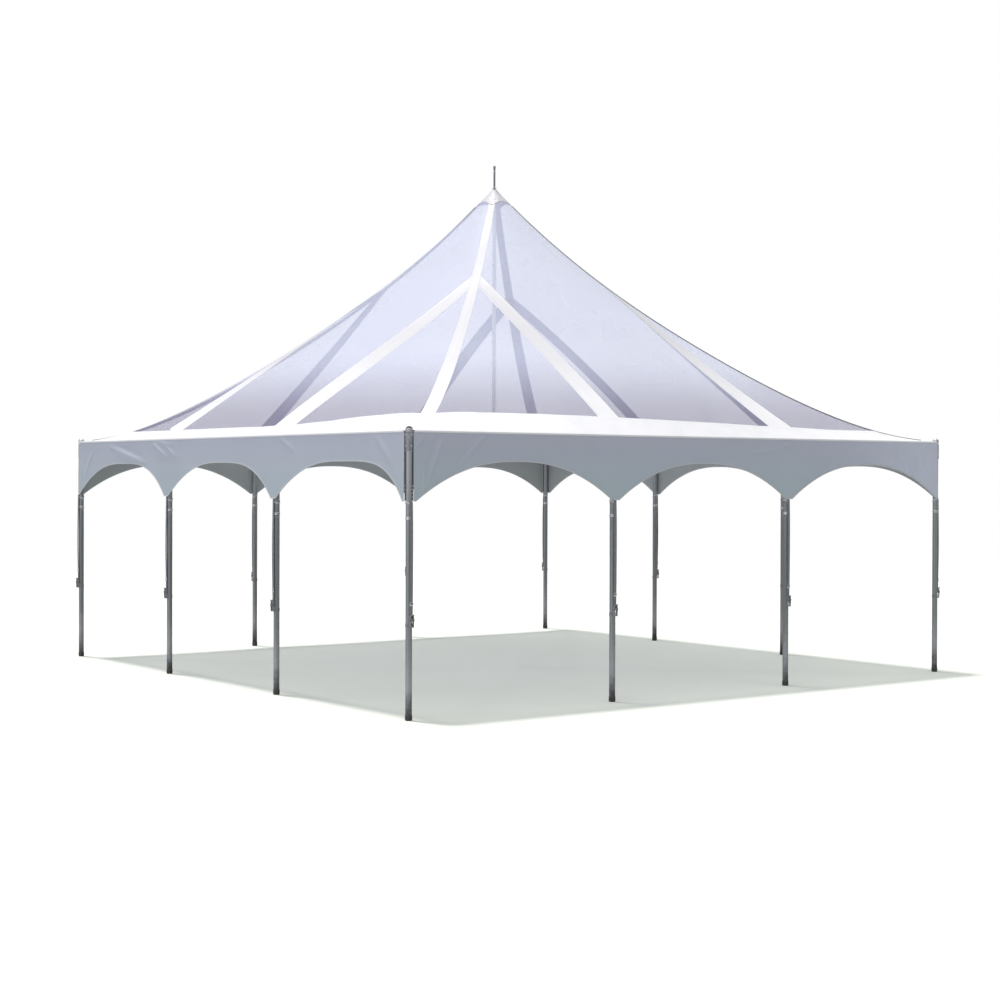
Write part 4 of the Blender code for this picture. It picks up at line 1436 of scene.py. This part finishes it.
            # Painted light: a pale strip along the outer edge of the far ends, over where the shaded leg would
            # show between the skirts.
            if not near:
                edge = [point + Vector((sign * 0.0020, -0.0130, 0.0)) for point in line]
                shape.swept(edge, 0.0050, 10, side.turn, 2)
            for k in range(5):
                low = foot + 0.028 * k
                here = self.face_point(side, folds, sign * self.end, low)
                place = side.turn @ Matrix.Translation(here + Vector((sign * 0.004, 0.0070, 0.0)))
                shape.block((0.010, 0.005, 0.008), 0.0015, 2, place, 1)
        finishes = [self.palette.lacing_and_gap_shade, self.palette.steel, self.palette.binding]
        return shape.piece("skirt_welts_" + side.label, finishes, "valance_vinyl", 40.0)


@dataclass
class Legs:
    """Twelve tube legs, each with its sliding joint, spring button and rubber foot."""

    plan: Plan
    palette: Palette
    sides: int = 40
    collar_z: float = 1.548
    collar_radius: float = 0.0287
    foot_height: float = 0.042
    foot_radius: float = 0.0285
    wall: float = 0.0021

    def build(self) -> None:
        """Build the twelve legs from one pattern, each turned to its own side."""
        for name, place in self.plan.leg_stations():
            shape = self.pattern(place)
            finishes = [self.palette.tube, self.palette.casting, self.palette.rubber, self.palette.steel]
            shape.piece("tube_leg_" + name, finishes, "leg_tube", 35.0, ["leg_" + name])

    def pattern(self, place: Matrix) -> Shape:
        """Return one leg, placed."""
        radius, top = self.plan.tube_radius, self.plan.leg_top_z
        shape = Shape()
        joint = self.collar_z
        lower = [(radius, 0.020), (radius, 0.55), (radius, 1.05), (radius, joint), (radius, top),
                 (radius - self.wall, top), (radius - self.wall, 0.020)]
        shape.turned(lower, self.sides, place, 0)
        low, high = joint - 0.011, joint + 0.011
        collar = [(radius, low), (self.collar_radius - 0.001, low), (self.collar_radius, low + 0.001),
                  (self.collar_radius, low + 0.006), (self.collar_radius - 0.0009, low + 0.0075),
                  (self.collar_radius - 0.0009, high - 0.0075), (self.collar_radius, high - 0.006),
                  (self.collar_radius, high - 0.001), (self.collar_radius - 0.001, high), (radius, high)]
        shape.turned(collar, self.sides, place, 3)
        self.add_button(shape, place, joint - 0.030)
        self.add_foot(shape, place)
        return shape

    def add_button(self, shape: Shape, place: Matrix, height: float) -> None:
        """Add the spring button that locks the sliding joint, and its hole's rim."""
        face = place @ Matrix.Translation((self.plan.tube_radius - 0.0006, 0.0, height)) \
            @ Matrix.Rotation(math.radians(90), 4, "Y")
        shape.turned([(0.0, 0.0), (0.0042, 0.0), (0.0042, 0.0016), (0.0032, 0.0028), (0.0, 0.0031)],
                     16, face, 3)
        shape.turned([(0.0046, 0.0002), (0.0060, 0.0002), (0.0057, 0.0010), (0.0048, 0.0010)], 20, face, 0)

    def add_foot(self, shape: Shape, place: Matrix) -> None:
        """Add the moulded foot, with its ribs and its rounded sole."""
        outer, tall = self.foot_radius, self.foot_height
        outline = [(0.0, 0.0), (0.021, 0.0), (0.0245, 0.0012), (0.0270, 0.0046), (outer, 0.010)]
        for k in range(3):
            base = 0.014 + 0.008 * k
            outline += [(outer, base), (outer - 0.0009, base + 0.0012), (outer - 0.0009, base + 0.0030),
                        (outer, base + 0.0042)]
        outline += [(outer, tall - 0.003), (outer - 0.0012, tall), (self.plan.tube_radius, tall),
                    (self.plan.tube_radius, 0.016), (0.0, 0.012)]
        shape.turned(outline, self.sides, place, 2)


@dataclass
class RatchetStraps:
    """Webbing down each leg to a ratchet, with a hook above it and a loop round the leg."""

    plan: Plan
    palette: Palette
    width: float = 0.028
    wall: float = 0.0020
    face: float = 0.0308
    bow: float = 0.006
    ratchet_z: float = 0.760
    ratchet_height: float = 0.098

    def build(self) -> None:
        """Build the twelve straps, the webbing in one piece and the ratchet in another."""
        for name, place in self.plan.leg_stations():
            bow = self.bow * (2.0 if name in ("back_2", "corner_back_right") else 1.0)
            webbing = Shape()
            self.add_webbing(webbing, place, bow)
            webbing.piece("strap_" + name, [self.palette.strap, self.palette.pale_strap], "webbing",
                          40.0, ["ratchet_strap_" + name])
            ratchet = Shape()
            self.add_ratchet(ratchet, place)
            self.add_hook(ratchet, place)
            ratchet.piece("ratchet_" + name, [self.palette.dark_steel, self.palette.steel,
                                              self.palette.strap], "webbing", 35.0)

    def add_webbing(self, shape: Shape, place: Matrix, bow: float) -> None:
        """Add the webbing from the valance's point to the ratchet, and its tie at the top."""
        top, foot = self.plan.valance_point_z - 0.002, self.ratchet_z
        line = []
        for k in range(41):
            share = k / 40
            out = self.face + bow * math.sin(math.pi * share) ** 0.9
            line.append((0.0006 * math.sin(9 * share), -out, top + (foot - top) * share))
        half, thin = self.width / 2, self.wall / 2
        section = [(-half, -thin * 0.4), (-half + 0.001, -thin), (half - 0.001, -thin), (half, -thin * 0.4),
                   (half, thin * 0.4), (half - 0.001, thin), (-half + 0.001, thin), (-half, thin * 0.4)]
        shape.extruded(line, section, place, 0, False, (0.0, 1.0, 0.0))
        self.add_tie(shape, place)
        self.add_loop(shape, place, self.ratchet_z - 0.030)

    def add_tie(self, shape: Shape, place: Matrix) -> None:
        """Wrap a pale tie aslant round the leg at the valance's point."""
        ring = []
        for k in range(48):
            angle = 2 * math.pi * k / 48
            ring.append((0.0275 * math.cos(angle), 0.0275 * math.sin(angle),
                         self.plan.valance_point_z - 0.022 - 0.016 * math.cos(angle)))
        section = [(-0.0010, -0.007), (0.0010, -0.007), (0.0013, 0.0), (0.0010, 0.007), (-0.0010, 0.007)]
        shape.extruded(ring, section, place, 1, True)

    def add_loop(self, shape: Shape, place: Matrix, height: float) -> None:
        """Add the webbing loop that holds the ratchet to the leg."""
        inner, outer, half = 0.0257, 0.0277, 0.0125
        outline = [(inner, -half), (outer - 0.0004, -half), (outer, -half + 0.001), (outer, half - 0.001),
                   (outer - 0.0004, half), (inner, half)]
        shape.turned(outline, 40, place @ Matrix.Translation((0, 0, height)), 0)

    def add_ratchet(self, shape: Shape, place: Matrix) -> None:
        """Add the ratchet: two plates, toothed wheels, the wound drum and the handle."""
        middle = place @ Matrix.Translation((0.0, -0.0400, self.ratchet_z))
        for sign in (-1, 1):
            plate = middle @ Matrix.Translation((sign * 0.0150, 0.0010, -0.004))
            shape.block((0.0020, 0.0215, self.ratchet_height - 0.010), 0.0008, 1, plate, 0)
            self.add_wheel(shape, middle @ Matrix.Translation((sign * 0.0172, -0.001, 0.012)))
            arm = middle @ Matrix.Translation((sign * 0.0126, -0.0075, 0.018)) \
                @ Matrix.Rotation(math.radians(-6), 4, "X")
            shape.block((0.0018, 0.0075, 0.062), 0.0007, 1, arm, 0)
        turn = middle @ Matrix.Translation((0.0, -0.001, 0.012)) @ Matrix.Rotation(math.radians(90), 4, "Y")
        drum = [(0.0, -0.0205), (0.0050, -0.0205), (0.0055, -0.0200), (0.0055, -0.0140), (0.0105, -0.0136),
                (0.0105, 0.0136), (0.0055, 0.0140), (0.0055, 0.0200), (0.0050, 0.0205), (0.0, 0.0205)]
        shape.turned(drum, 28, turn, 2)
        shape.turned([(0.0, -0.0210), (0.0066, -0.0210), (0.0066, -0.0186), (0.0, -0.0186)], 6, turn, 0)
        grip = middle @ Matrix.Translation((0.0, -0.0095, 0.047)) @ Matrix.Rotation(math.radians(90), 4, "Y")
        shape.turned([(0.0, -0.0160), (0.0052, -0.0160), (0.0060, -0.0150), (0.0060, 0.0150),
                      (0.0052, 0.0160), (0.0, 0.0160)], 20, grip, 0)
        foot = middle @ Matrix.Translation((0.0, 0.003, -0.044)) @ Matrix.Rotation(math.radians(90), 4, "Y")
        shape.turned([(0.0, -0.0180), (0.0040, -0.0180), (0.0040, 0.0180), (0.0, 0.0180)], 20, foot, 0)

    def add_wheel(self, shape: Shape, place: Matrix) -> None:
        """Add one toothed wheel on the drum's axis."""
        teeth, points = 12, []
        for k in range(teeth):
            for turn, radius in ((0.0, 0.0118), (0.62, 0.0150), (0.72, 0.0118)):
                angle = 2 * math.pi * (k + turn) / teeth
                points.append((radius * math.cos(angle), radius * math.sin(angle)))
        count = len(points)
        corners = [(-0.0009, a, b) for a, b in points] + [(0.0009, a, b) for a, b in points]
        faces = [tuple(range(count)), tuple(reversed(range(count, 2 * count)))]
        faces += [(k, (k + 1) % count, count + (k + 1) % count, count + k) for k in range(count)]
        shape.add(corners, faces, place, 0)

    def add_hook(self, shape: Shape, place: Matrix) -> None:
        """Add the wire hook that takes up the webbing above the ratchet."""
        height, out = self.ratchet_z + 0.135, -self.face - 0.0048 - self.bow * 0.5
        line = []
        for k in range(29):
            angle = math.pi * (-0.5 + 1.5 * k / 28)
            line.append((0.0155 * math.cos(angle), out, height + 0.010 * math.sin(angle)))
        line = [(-0.0155, out, height - 0.010)] + line
        shape.swept(line, 0.0022, 8, place, 1)
        shape.block((0.034, 0.0024, 0.012), 0.0008, 2,
                    place @ Matrix.Translation((0.0, out + 0.003, height - 0.012)), 1)


@dataclass
class Frame:
    """Corner castings and eave rails in smooth metal, bolted and pinned together."""

    plan: Plan
    palette: Palette
    sides: int = 36
    reach: float = 0.13
    hub: float = 0.036
    knob_radius: float = 0.030
    knob_lift: float = 0.037
    lip: float = 0.0016

    def build(self) -> None:
        """Build the four castings, then the four rails with their tees."""
        finishes = [self.palette.casting, self.palette.steel, self.palette.rubber]
        for corner in Corner:
            shape = Shape()
            self.add_casting(shape, corner)
            shape.piece("casting_" + corner.label, finishes, "cast_fitting", 35.0,
                        ["corner_fitting_" + corner.label])
        for side in Side:
            shape = Shape()
            self.add_rail(shape, side)
            shape.piece("rail_" + side.label, [self.palette.rail, self.palette.casting, self.palette.steel],
                        "eave_tube", 35.0, ["eave_rail_" + side.label])

    def sleeve(self, shape: Shape, centre: Vector, direction: Vector, start: float, finish: int) -> None:
        """Add a cast sleeve with a rolled mouth, from near the centre to its open end."""
        outer, bore, end = self.plan.sleeve_radius, self.plan.tube_radius + 0.0004, self.reach
        place = Matrix.Translation(centre) @ direction.to_track_quat("Z", "Y").to_matrix().to_4x4()
        outline = [(0.0, start), (outer, start), (outer, end - 0.014), (outer + self.lip * 0.4, end - 0.010),
                   (outer + self.lip * 0.4, end - 0.002), (outer - 0.0005, end), (bore, end),
                   (bore, self.hub), (0.0, self.hub)]
        shape.turned(outline, self.sides, place, finish)

    def bolt(self, shape: Shape, place: Matrix, finish: int) -> None:
        """Add a hexagon bolt head on its washer, standing on +Z."""
        shape.turned([(0.0, 0.0), (0.0088, 0.0), (0.0088, 0.0014), (0.0, 0.0014)], 24, place, finish)
        shape.turned([(0.0, 0.0012), (0.0062, 0.0012), (0.0062, 0.0046), (0.0052, 0.0054), (0.0, 0.0054)],
                     6, place, finish)

    def add_casting(self, shape: Shape, corner: Corner) -> None:
        """Add the hub with its three sleeves, the knob and the bolts."""
        x_sign, y_sign = corner.signs
        span = self.plan.half_span
        centre = Vector((x_sign * span, y_sign * span, self.plan.tube_z))
        for direction in (Vector((0, 0, -1)), Vector((-x_sign, 0, 0)), Vector((0, -y_sign, 0))):
            self.sleeve(shape, centre, direction, 0.0, 0)
        shape.ball(self.plan.sleeve_radius, Matrix.Translation(centre), 0, 36)
        knob = Matrix.Translation(centre + Vector((0, 0, self.knob_lift)))
        shape.ball(self.knob_radius, knob, 1, 40)
        neck = [(0.0, 0.0), (0.026, 0.0), (0.020, 0.012), (0.019, 0.022), (0.0, 0.022)]
        shape.turned(neck, 36, Matrix.Translation(centre), 0)
        plug = [(0.0, self.knob_radius - 0.004)]
        for k in range(9):
            angle = math.radians(62 * (1 - k / 8))
            plug.append(((self.knob_radius + 0.0006) * math.sin(angle),
                         (self.knob_radius + 0.0006) * math.cos(angle)))
        plug[-1] = (0.0, self.knob_radius + 0.0006)
        shape.turned(plug, 36, knob, 2 if corner is Corner.FRONT_LEFT else 1)
        for outward in (Vector((x_sign, 0, 0)), Vector((0, y_sign, 0))):
            seat = centre + outward * (self.plan.sleeve_radius - 0.0008) - Vector((0, 0, 0.085))
            turn = outward.to_track_quat("Z", "Y").to_matrix().to_4x4()
            self.bolt(shape, Matrix.Translation(seat) @ turn, 0)
        for along in (Vector((-x_sign, 0, 0)), Vector((0, -y_sign, 0))):
            seat = centre + along * 0.085 - Vector((0, 0, self.plan.sleeve_radius - 0.0008))
            self.bolt(shape, Matrix.Translation(seat) @ Matrix.Rotation(math.pi, 4, "X"), 1)

    def add_rail(self, shape: Shape, side: Side) -> None:
        """Add one side's three tubes, with a tee casting over each joint."""
        plan = self.plan
        radius, outer = plan.tube_radius, plan.sleeve_radius
        end = plan.half_span - self.hub - 0.0003
        middle = side.turn @ Matrix.Translation((0, -plan.half_span, plan.tube_z)) \
            @ Matrix.Rotation(math.radians(90), 4, "Y")
        shape.turned([(radius, -end), (radius, end), (radius - 0.0021, end), (radius - 0.0021, -end)],
                     self.sides, middle, 0)
        for index in (1, 2):
            line = plan.leg_line(index)
            near, far = line - self.reach, line + self.reach
            outline = [(radius, near), (outer, near), (outer + 0.0006, near + 0.002),
                       (outer + 0.0006, near + 0.010), (outer, near + 0.014), (outer, far - 0.014),
                       (outer + 0.0006, far - 0.010), (outer + 0.0006, far - 0.002), (outer, far),
                       (radius, far)]
            shape.turned(outline, self.sides, middle, 1)
            centre = side.turn @ Vector((line, -plan.half_span, plan.tube_z))
            self.sleeve(shape, centre, Vector((0, 0, -1)), radius - 0.002, 1)
            inward = side.turn @ Vector((0, 1, 0))
            turn = inward.to_track_quat("Z", "Y").to_matrix().to_4x4()
            for dx, dz in ((-0.085, 0.0), (0.085, 0.0), (0.0, -0.085)):
                seat = side.turn @ Vector((line + dx, -plan.half_span + outer - 0.0008, plan.tube_z + dz))
                self.bolt(shape, Matrix.Translation(seat) @ turn, 2)


@dataclass
class MastAndCables:
    """The short mast under the peak, its head and pin, and the two crossed cables."""

    plan: Plan
    palette: Palette
    form: RoofForm
    strands: int = 6
    strand_radius: float = 0.0014
    lay_radius: float = 0.0026
    lay_length: float = 0.075
    steps_per_lay: int = 10

    def build(self) -> None:
        """Dress the mast, then build its head and both cables."""
        self.dress_mast()
        self.head()
        self.cable("cross_cable_lower", 45.0)
        self.cable("cross_cable_upper", 135.0)

    def dress_mast(self) -> None:
        """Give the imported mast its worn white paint."""
        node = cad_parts["mast"]
        node.data.materials.clear()
        node.data.materials.append(self.palette.mast_paint)
        node.data.shade_smooth()
        node.data.set_sharp_from_angle(angle=math.radians(35))

    def head(self) -> None:
        """Build the cone that bears on the cap, its skirt over the mast, and the pin."""
        low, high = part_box("mast_head")
        radius, pin = (high.x - low.x) / 2, 0.0098
        rise = self.plan.fabric_rise + 0.0006
        cone = []
        for k in range(13):
            here = radius + (pin - radius) * k / 12
            cone.append((here, self.form.height(here, 0.0) - rise - 0.0035))
        seat, top = cone[0][1] - 0.019, self.plan.pin_top_z
        outline = [(0.0, seat), (0.0193, seat), (0.0193, low.z), (0.0225, low.z), (0.0235, low.z + 0.001),
                   (0.0235, seat), (radius - 0.002, cone[0][1] - 0.010), (radius, cone[0][1] - 0.008)]
        outline += cone
        outline += [(pin, top - 0.036), (0.0112, top - 0.033), (0.0120, top - 0.028), (0.0120, top - 0.010),
                    (0.0108, top - 0.004), (0.0070, top - 0.001), (0.0, top)]
        shape = Shape()
        shape.turned(outline, 48, None, 0)
        shape.turned([(0.0, -0.003), (0.014, -0.003), (0.014, 0.003), (0.0, 0.003)], 6,
                     Matrix.Translation((0, 0, top - 0.060)), 1)
        shape.piece("head_and_pin", [self.palette.casting, self.palette.steel], "cast_fitting", 35.0,
                    ["mast_head"])

    def cable(self, node: str, degrees: float) -> None:
        """Lay one taut rope of twisted strands, with swaged ends, in its node's place.

        Args:
            node: The CAD node that the cable stands for.
            degrees: Direction of the cable, from +X towards +Y.
        """
        low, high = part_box(node)
        turn = Matrix.Rotation(math.radians(degrees), 4, "Z")
        end = max(abs(high.x), abs(low.x)) * math.sqrt(2) - 0.008
        middle_z, end_z = low.z + 0.004, high.z - 0.008
        flat, swage = 0.054, 0.12

        def centre(run: float) -> Vector:
            """Return the rope's middle line at a distance from the mast."""
            share = max(0.0, abs(run) - flat) / (end - flat)
            return Vector((run, 0.0, middle_z + (end_z - middle_z) * share))

        shape = Shape()
        rope_end = end - swage
        count = int(2 * rope_end / self.lay_length * self.steps_per_lay)
        for strand in range(self.strands):
            line = []
            for k in range(count + 1):
                run = rope_end * (2 * k / count - 1)
                angle = 2 * math.pi * (strand / self.strands + run / self.lay_length)
                around = Vector((0.0, math.cos(angle), math.sin(angle))) * self.lay_radius
                line.append(centre(run) + around)
            shape.swept(line, self.strand_radius, 5, turn, 0)
        for sign in (-1, 1):
            tip, root = centre(sign * end), centre(sign * (rope_end - 0.004))
            place = turn @ Matrix.Translation(root) \
                @ (tip - root).to_track_quat("Z", "Y").to_matrix().to_4x4()
            length = (tip - root).length
            outline = [(0.0, 0.0), (0.0050, 0.0), (0.0062, 0.004), (0.0062, length * 0.42),
                       (0.0080, length * 0.46), (0.0080, length * 0.80), (0.0062, length * 0.84),
                       (0.0062, length - 0.002), (0.0, length)]
            shape.turned(outline, 20, place, 1)
        shape.piece(node.replace("cross", "rope"), [self.palette.rope, self.palette.steel], "wire_rope",
                    40.0, [node])


@dataclass
class Studio:
    """Pale floor, soft light and the camera at the photo's viewing angle."""

    location: tuple[float, float, float] = (-10.712, -14.527, 1.853)
    yaw: float = 0.639
    pitch: float = -0.012
    roll: float = 0.003
    lens: float = 65.02
    floor_radius: float = 60.0
    clear_radius: float = 9.0
    fade_radius: float = 34.0

    def build(self) -> None:
        """Set up the floor, the lights and the camera."""
        bpy.context.scene.view_settings.view_transform = "Standard"
        self.floor()
        self.sky()
        self.lamps()
        self.camera()

    def floor(self) -> None:
        """Lay a pale floor that fades into the background far out."""
        mesh = bpy.data.meshes.new("studio_floor")
        bm = bmesh.new()
        bmesh.ops.create_circle(bm, cap_ends=True, segments=96, radius=self.floor_radius)
        bm.to_mesh(mesh)
        bm.free()
        made = bpy.data.materials.new("pale floor")
        made.use_nodes = True
        sheet = NodeSheet(made.node_tree)
        shader = made.node_tree.nodes["Principled BSDF"]
        place = sheet.node("TexCoord").outputs["Object"]
        away = sheet.node("VectorMath", {"operation": "LENGTH"})
        sheet.feed(away.inputs[0], place)
        mottle = sheet.node("TexNoise", Vector=place, Scale=1.4, Detail=4.0)
        seen = sheet.blend(mottle.outputs["Fac"], opaque((0.80, 0.83, 0.76)), opaque((0.82, 0.85, 0.78)))
        ray = sheet.node("LightPath").outputs["Is Camera Ray"]
        colour = sheet.blend(ray, opaque((0.44, 0.45, 0.445)), seen)
        sheet.feed(shader.inputs["Base Color"], colour)
        shader.inputs["Roughness"].default_value = 0.9
        shader.inputs["Specular IOR Level"].default_value = 0.1
        alpha = sheet.span(away.outputs["Value"], self.clear_radius, self.fade_radius, 1.0, 0.0)
        sheet.feed(shader.inputs["Alpha"], alpha)
        mesh.materials.append(made)
        floor = bpy.data.objects.new("studio_floor", mesh)
        floor.location.z = -0.001
        bpy.context.scene.collection.objects.link(floor)

    def sky(self) -> None:
        """Light the scene from a pale sky that the camera sees as plain white."""
        world = bpy.data.worlds.new("studio")
        bpy.context.scene.world = world
        world.use_nodes = True
        sheet = NodeSheet(world.node_tree)
        world.node_tree.nodes.clear()
        direction = sheet.node("TexCoord").outputs["Generated"]
        rise = sheet.node("SeparateXYZ", Vector=direction).outputs["Z"]
        glow = sheet.span(rise, -0.1, 0.8)
        colour = sheet.blend(glow, opaque((0.36, 0.37, 0.38)), opaque((0.95, 0.96, 0.98)))
        light = sheet.node("Background", Color=colour, Strength=0.75)
        seen = sheet.node("Background", Color=opaque((1.0, 1.0, 1.0)), Strength=1.0)
        ray = sheet.node("LightPath").outputs["Is Camera Ray"]
        mixed = sheet.node("MixShader")
        sheet.feed(mixed.inputs[0], ray)
        sheet.feed(mixed.inputs[1], light.outputs[0])
        sheet.feed(mixed.inputs[2], seen.outputs[0])
        out = sheet.node("OutputWorld")
        sheet.feed(out.inputs["Surface"], mixed.outputs[0])

    def lamps(self) -> None:
        """Hang a soft key light almost overhead and a broad, weak one at the left."""
        for name, energy, spread, travel in (("key", 2.4, 6.0, (0.05, -0.19, -0.98)),
                                             ("fill", 0.70, 50.0, (0.97, 0.10, -0.22))):
            lamp = bpy.data.lights.new(name, "SUN")
            lamp.energy = energy
            lamp.angle = math.radians(spread)
            lamp.color = (1.0, 0.99, 0.975) if name == "key" else (0.90, 0.89, 1.0)
            light = bpy.data.objects.new(name, lamp)
            light.rotation_mode = "QUATERNION"
            light.rotation_quaternion = Vector(travel).to_track_quat("-Z", "Y")
            bpy.context.scene.collection.objects.link(light)

    def camera(self) -> None:
        """Place the camera as the photo was taken."""
        lens = bpy.data.cameras.new("camera")
        lens.lens, lens.sensor_width = self.lens, 36.0
        lens.clip_start, lens.clip_end = 0.1, 300.0
        camera = bpy.data.objects.new("camera", lens)
        forward = Vector((math.sin(self.yaw) * math.cos(self.pitch),
                          math.cos(self.yaw) * math.cos(self.pitch), math.sin(self.pitch)))
        right = Vector((math.cos(self.yaw), -math.sin(self.yaw), 0.0))
        up = right.cross(forward)
        c, s = math.cos(self.roll), math.sin(self.roll)
        right, up = right * c + up * s, up * c - right * s
        basis = Matrix((right, up, -forward)).transposed().to_4x4()
        camera.matrix_world = Matrix.Translation(self.location) @ basis
        bpy.context.scene.collection.objects.link(camera)
        bpy.context.scene.camera = camera


def main() -> None:
    """Build the marquee's looks from the ground up and report each piece."""
    logging.basicConfig(level=logging.INFO, format="%(message)s", stream=sys.stdout)
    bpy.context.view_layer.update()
    plan = Plan.read()
    palette = Palette()
    Legs(plan, palette).build()
    RatchetStraps(plan, palette).build()
    Frame(plan, palette).build()
    roof = Roof(plan, palette)
    roof.build()
    MastAndCables(plan, palette, roof.form).build()
    Valances(plan, palette).build()
    Studio().build()


if __name__ == "__main__":
    main()
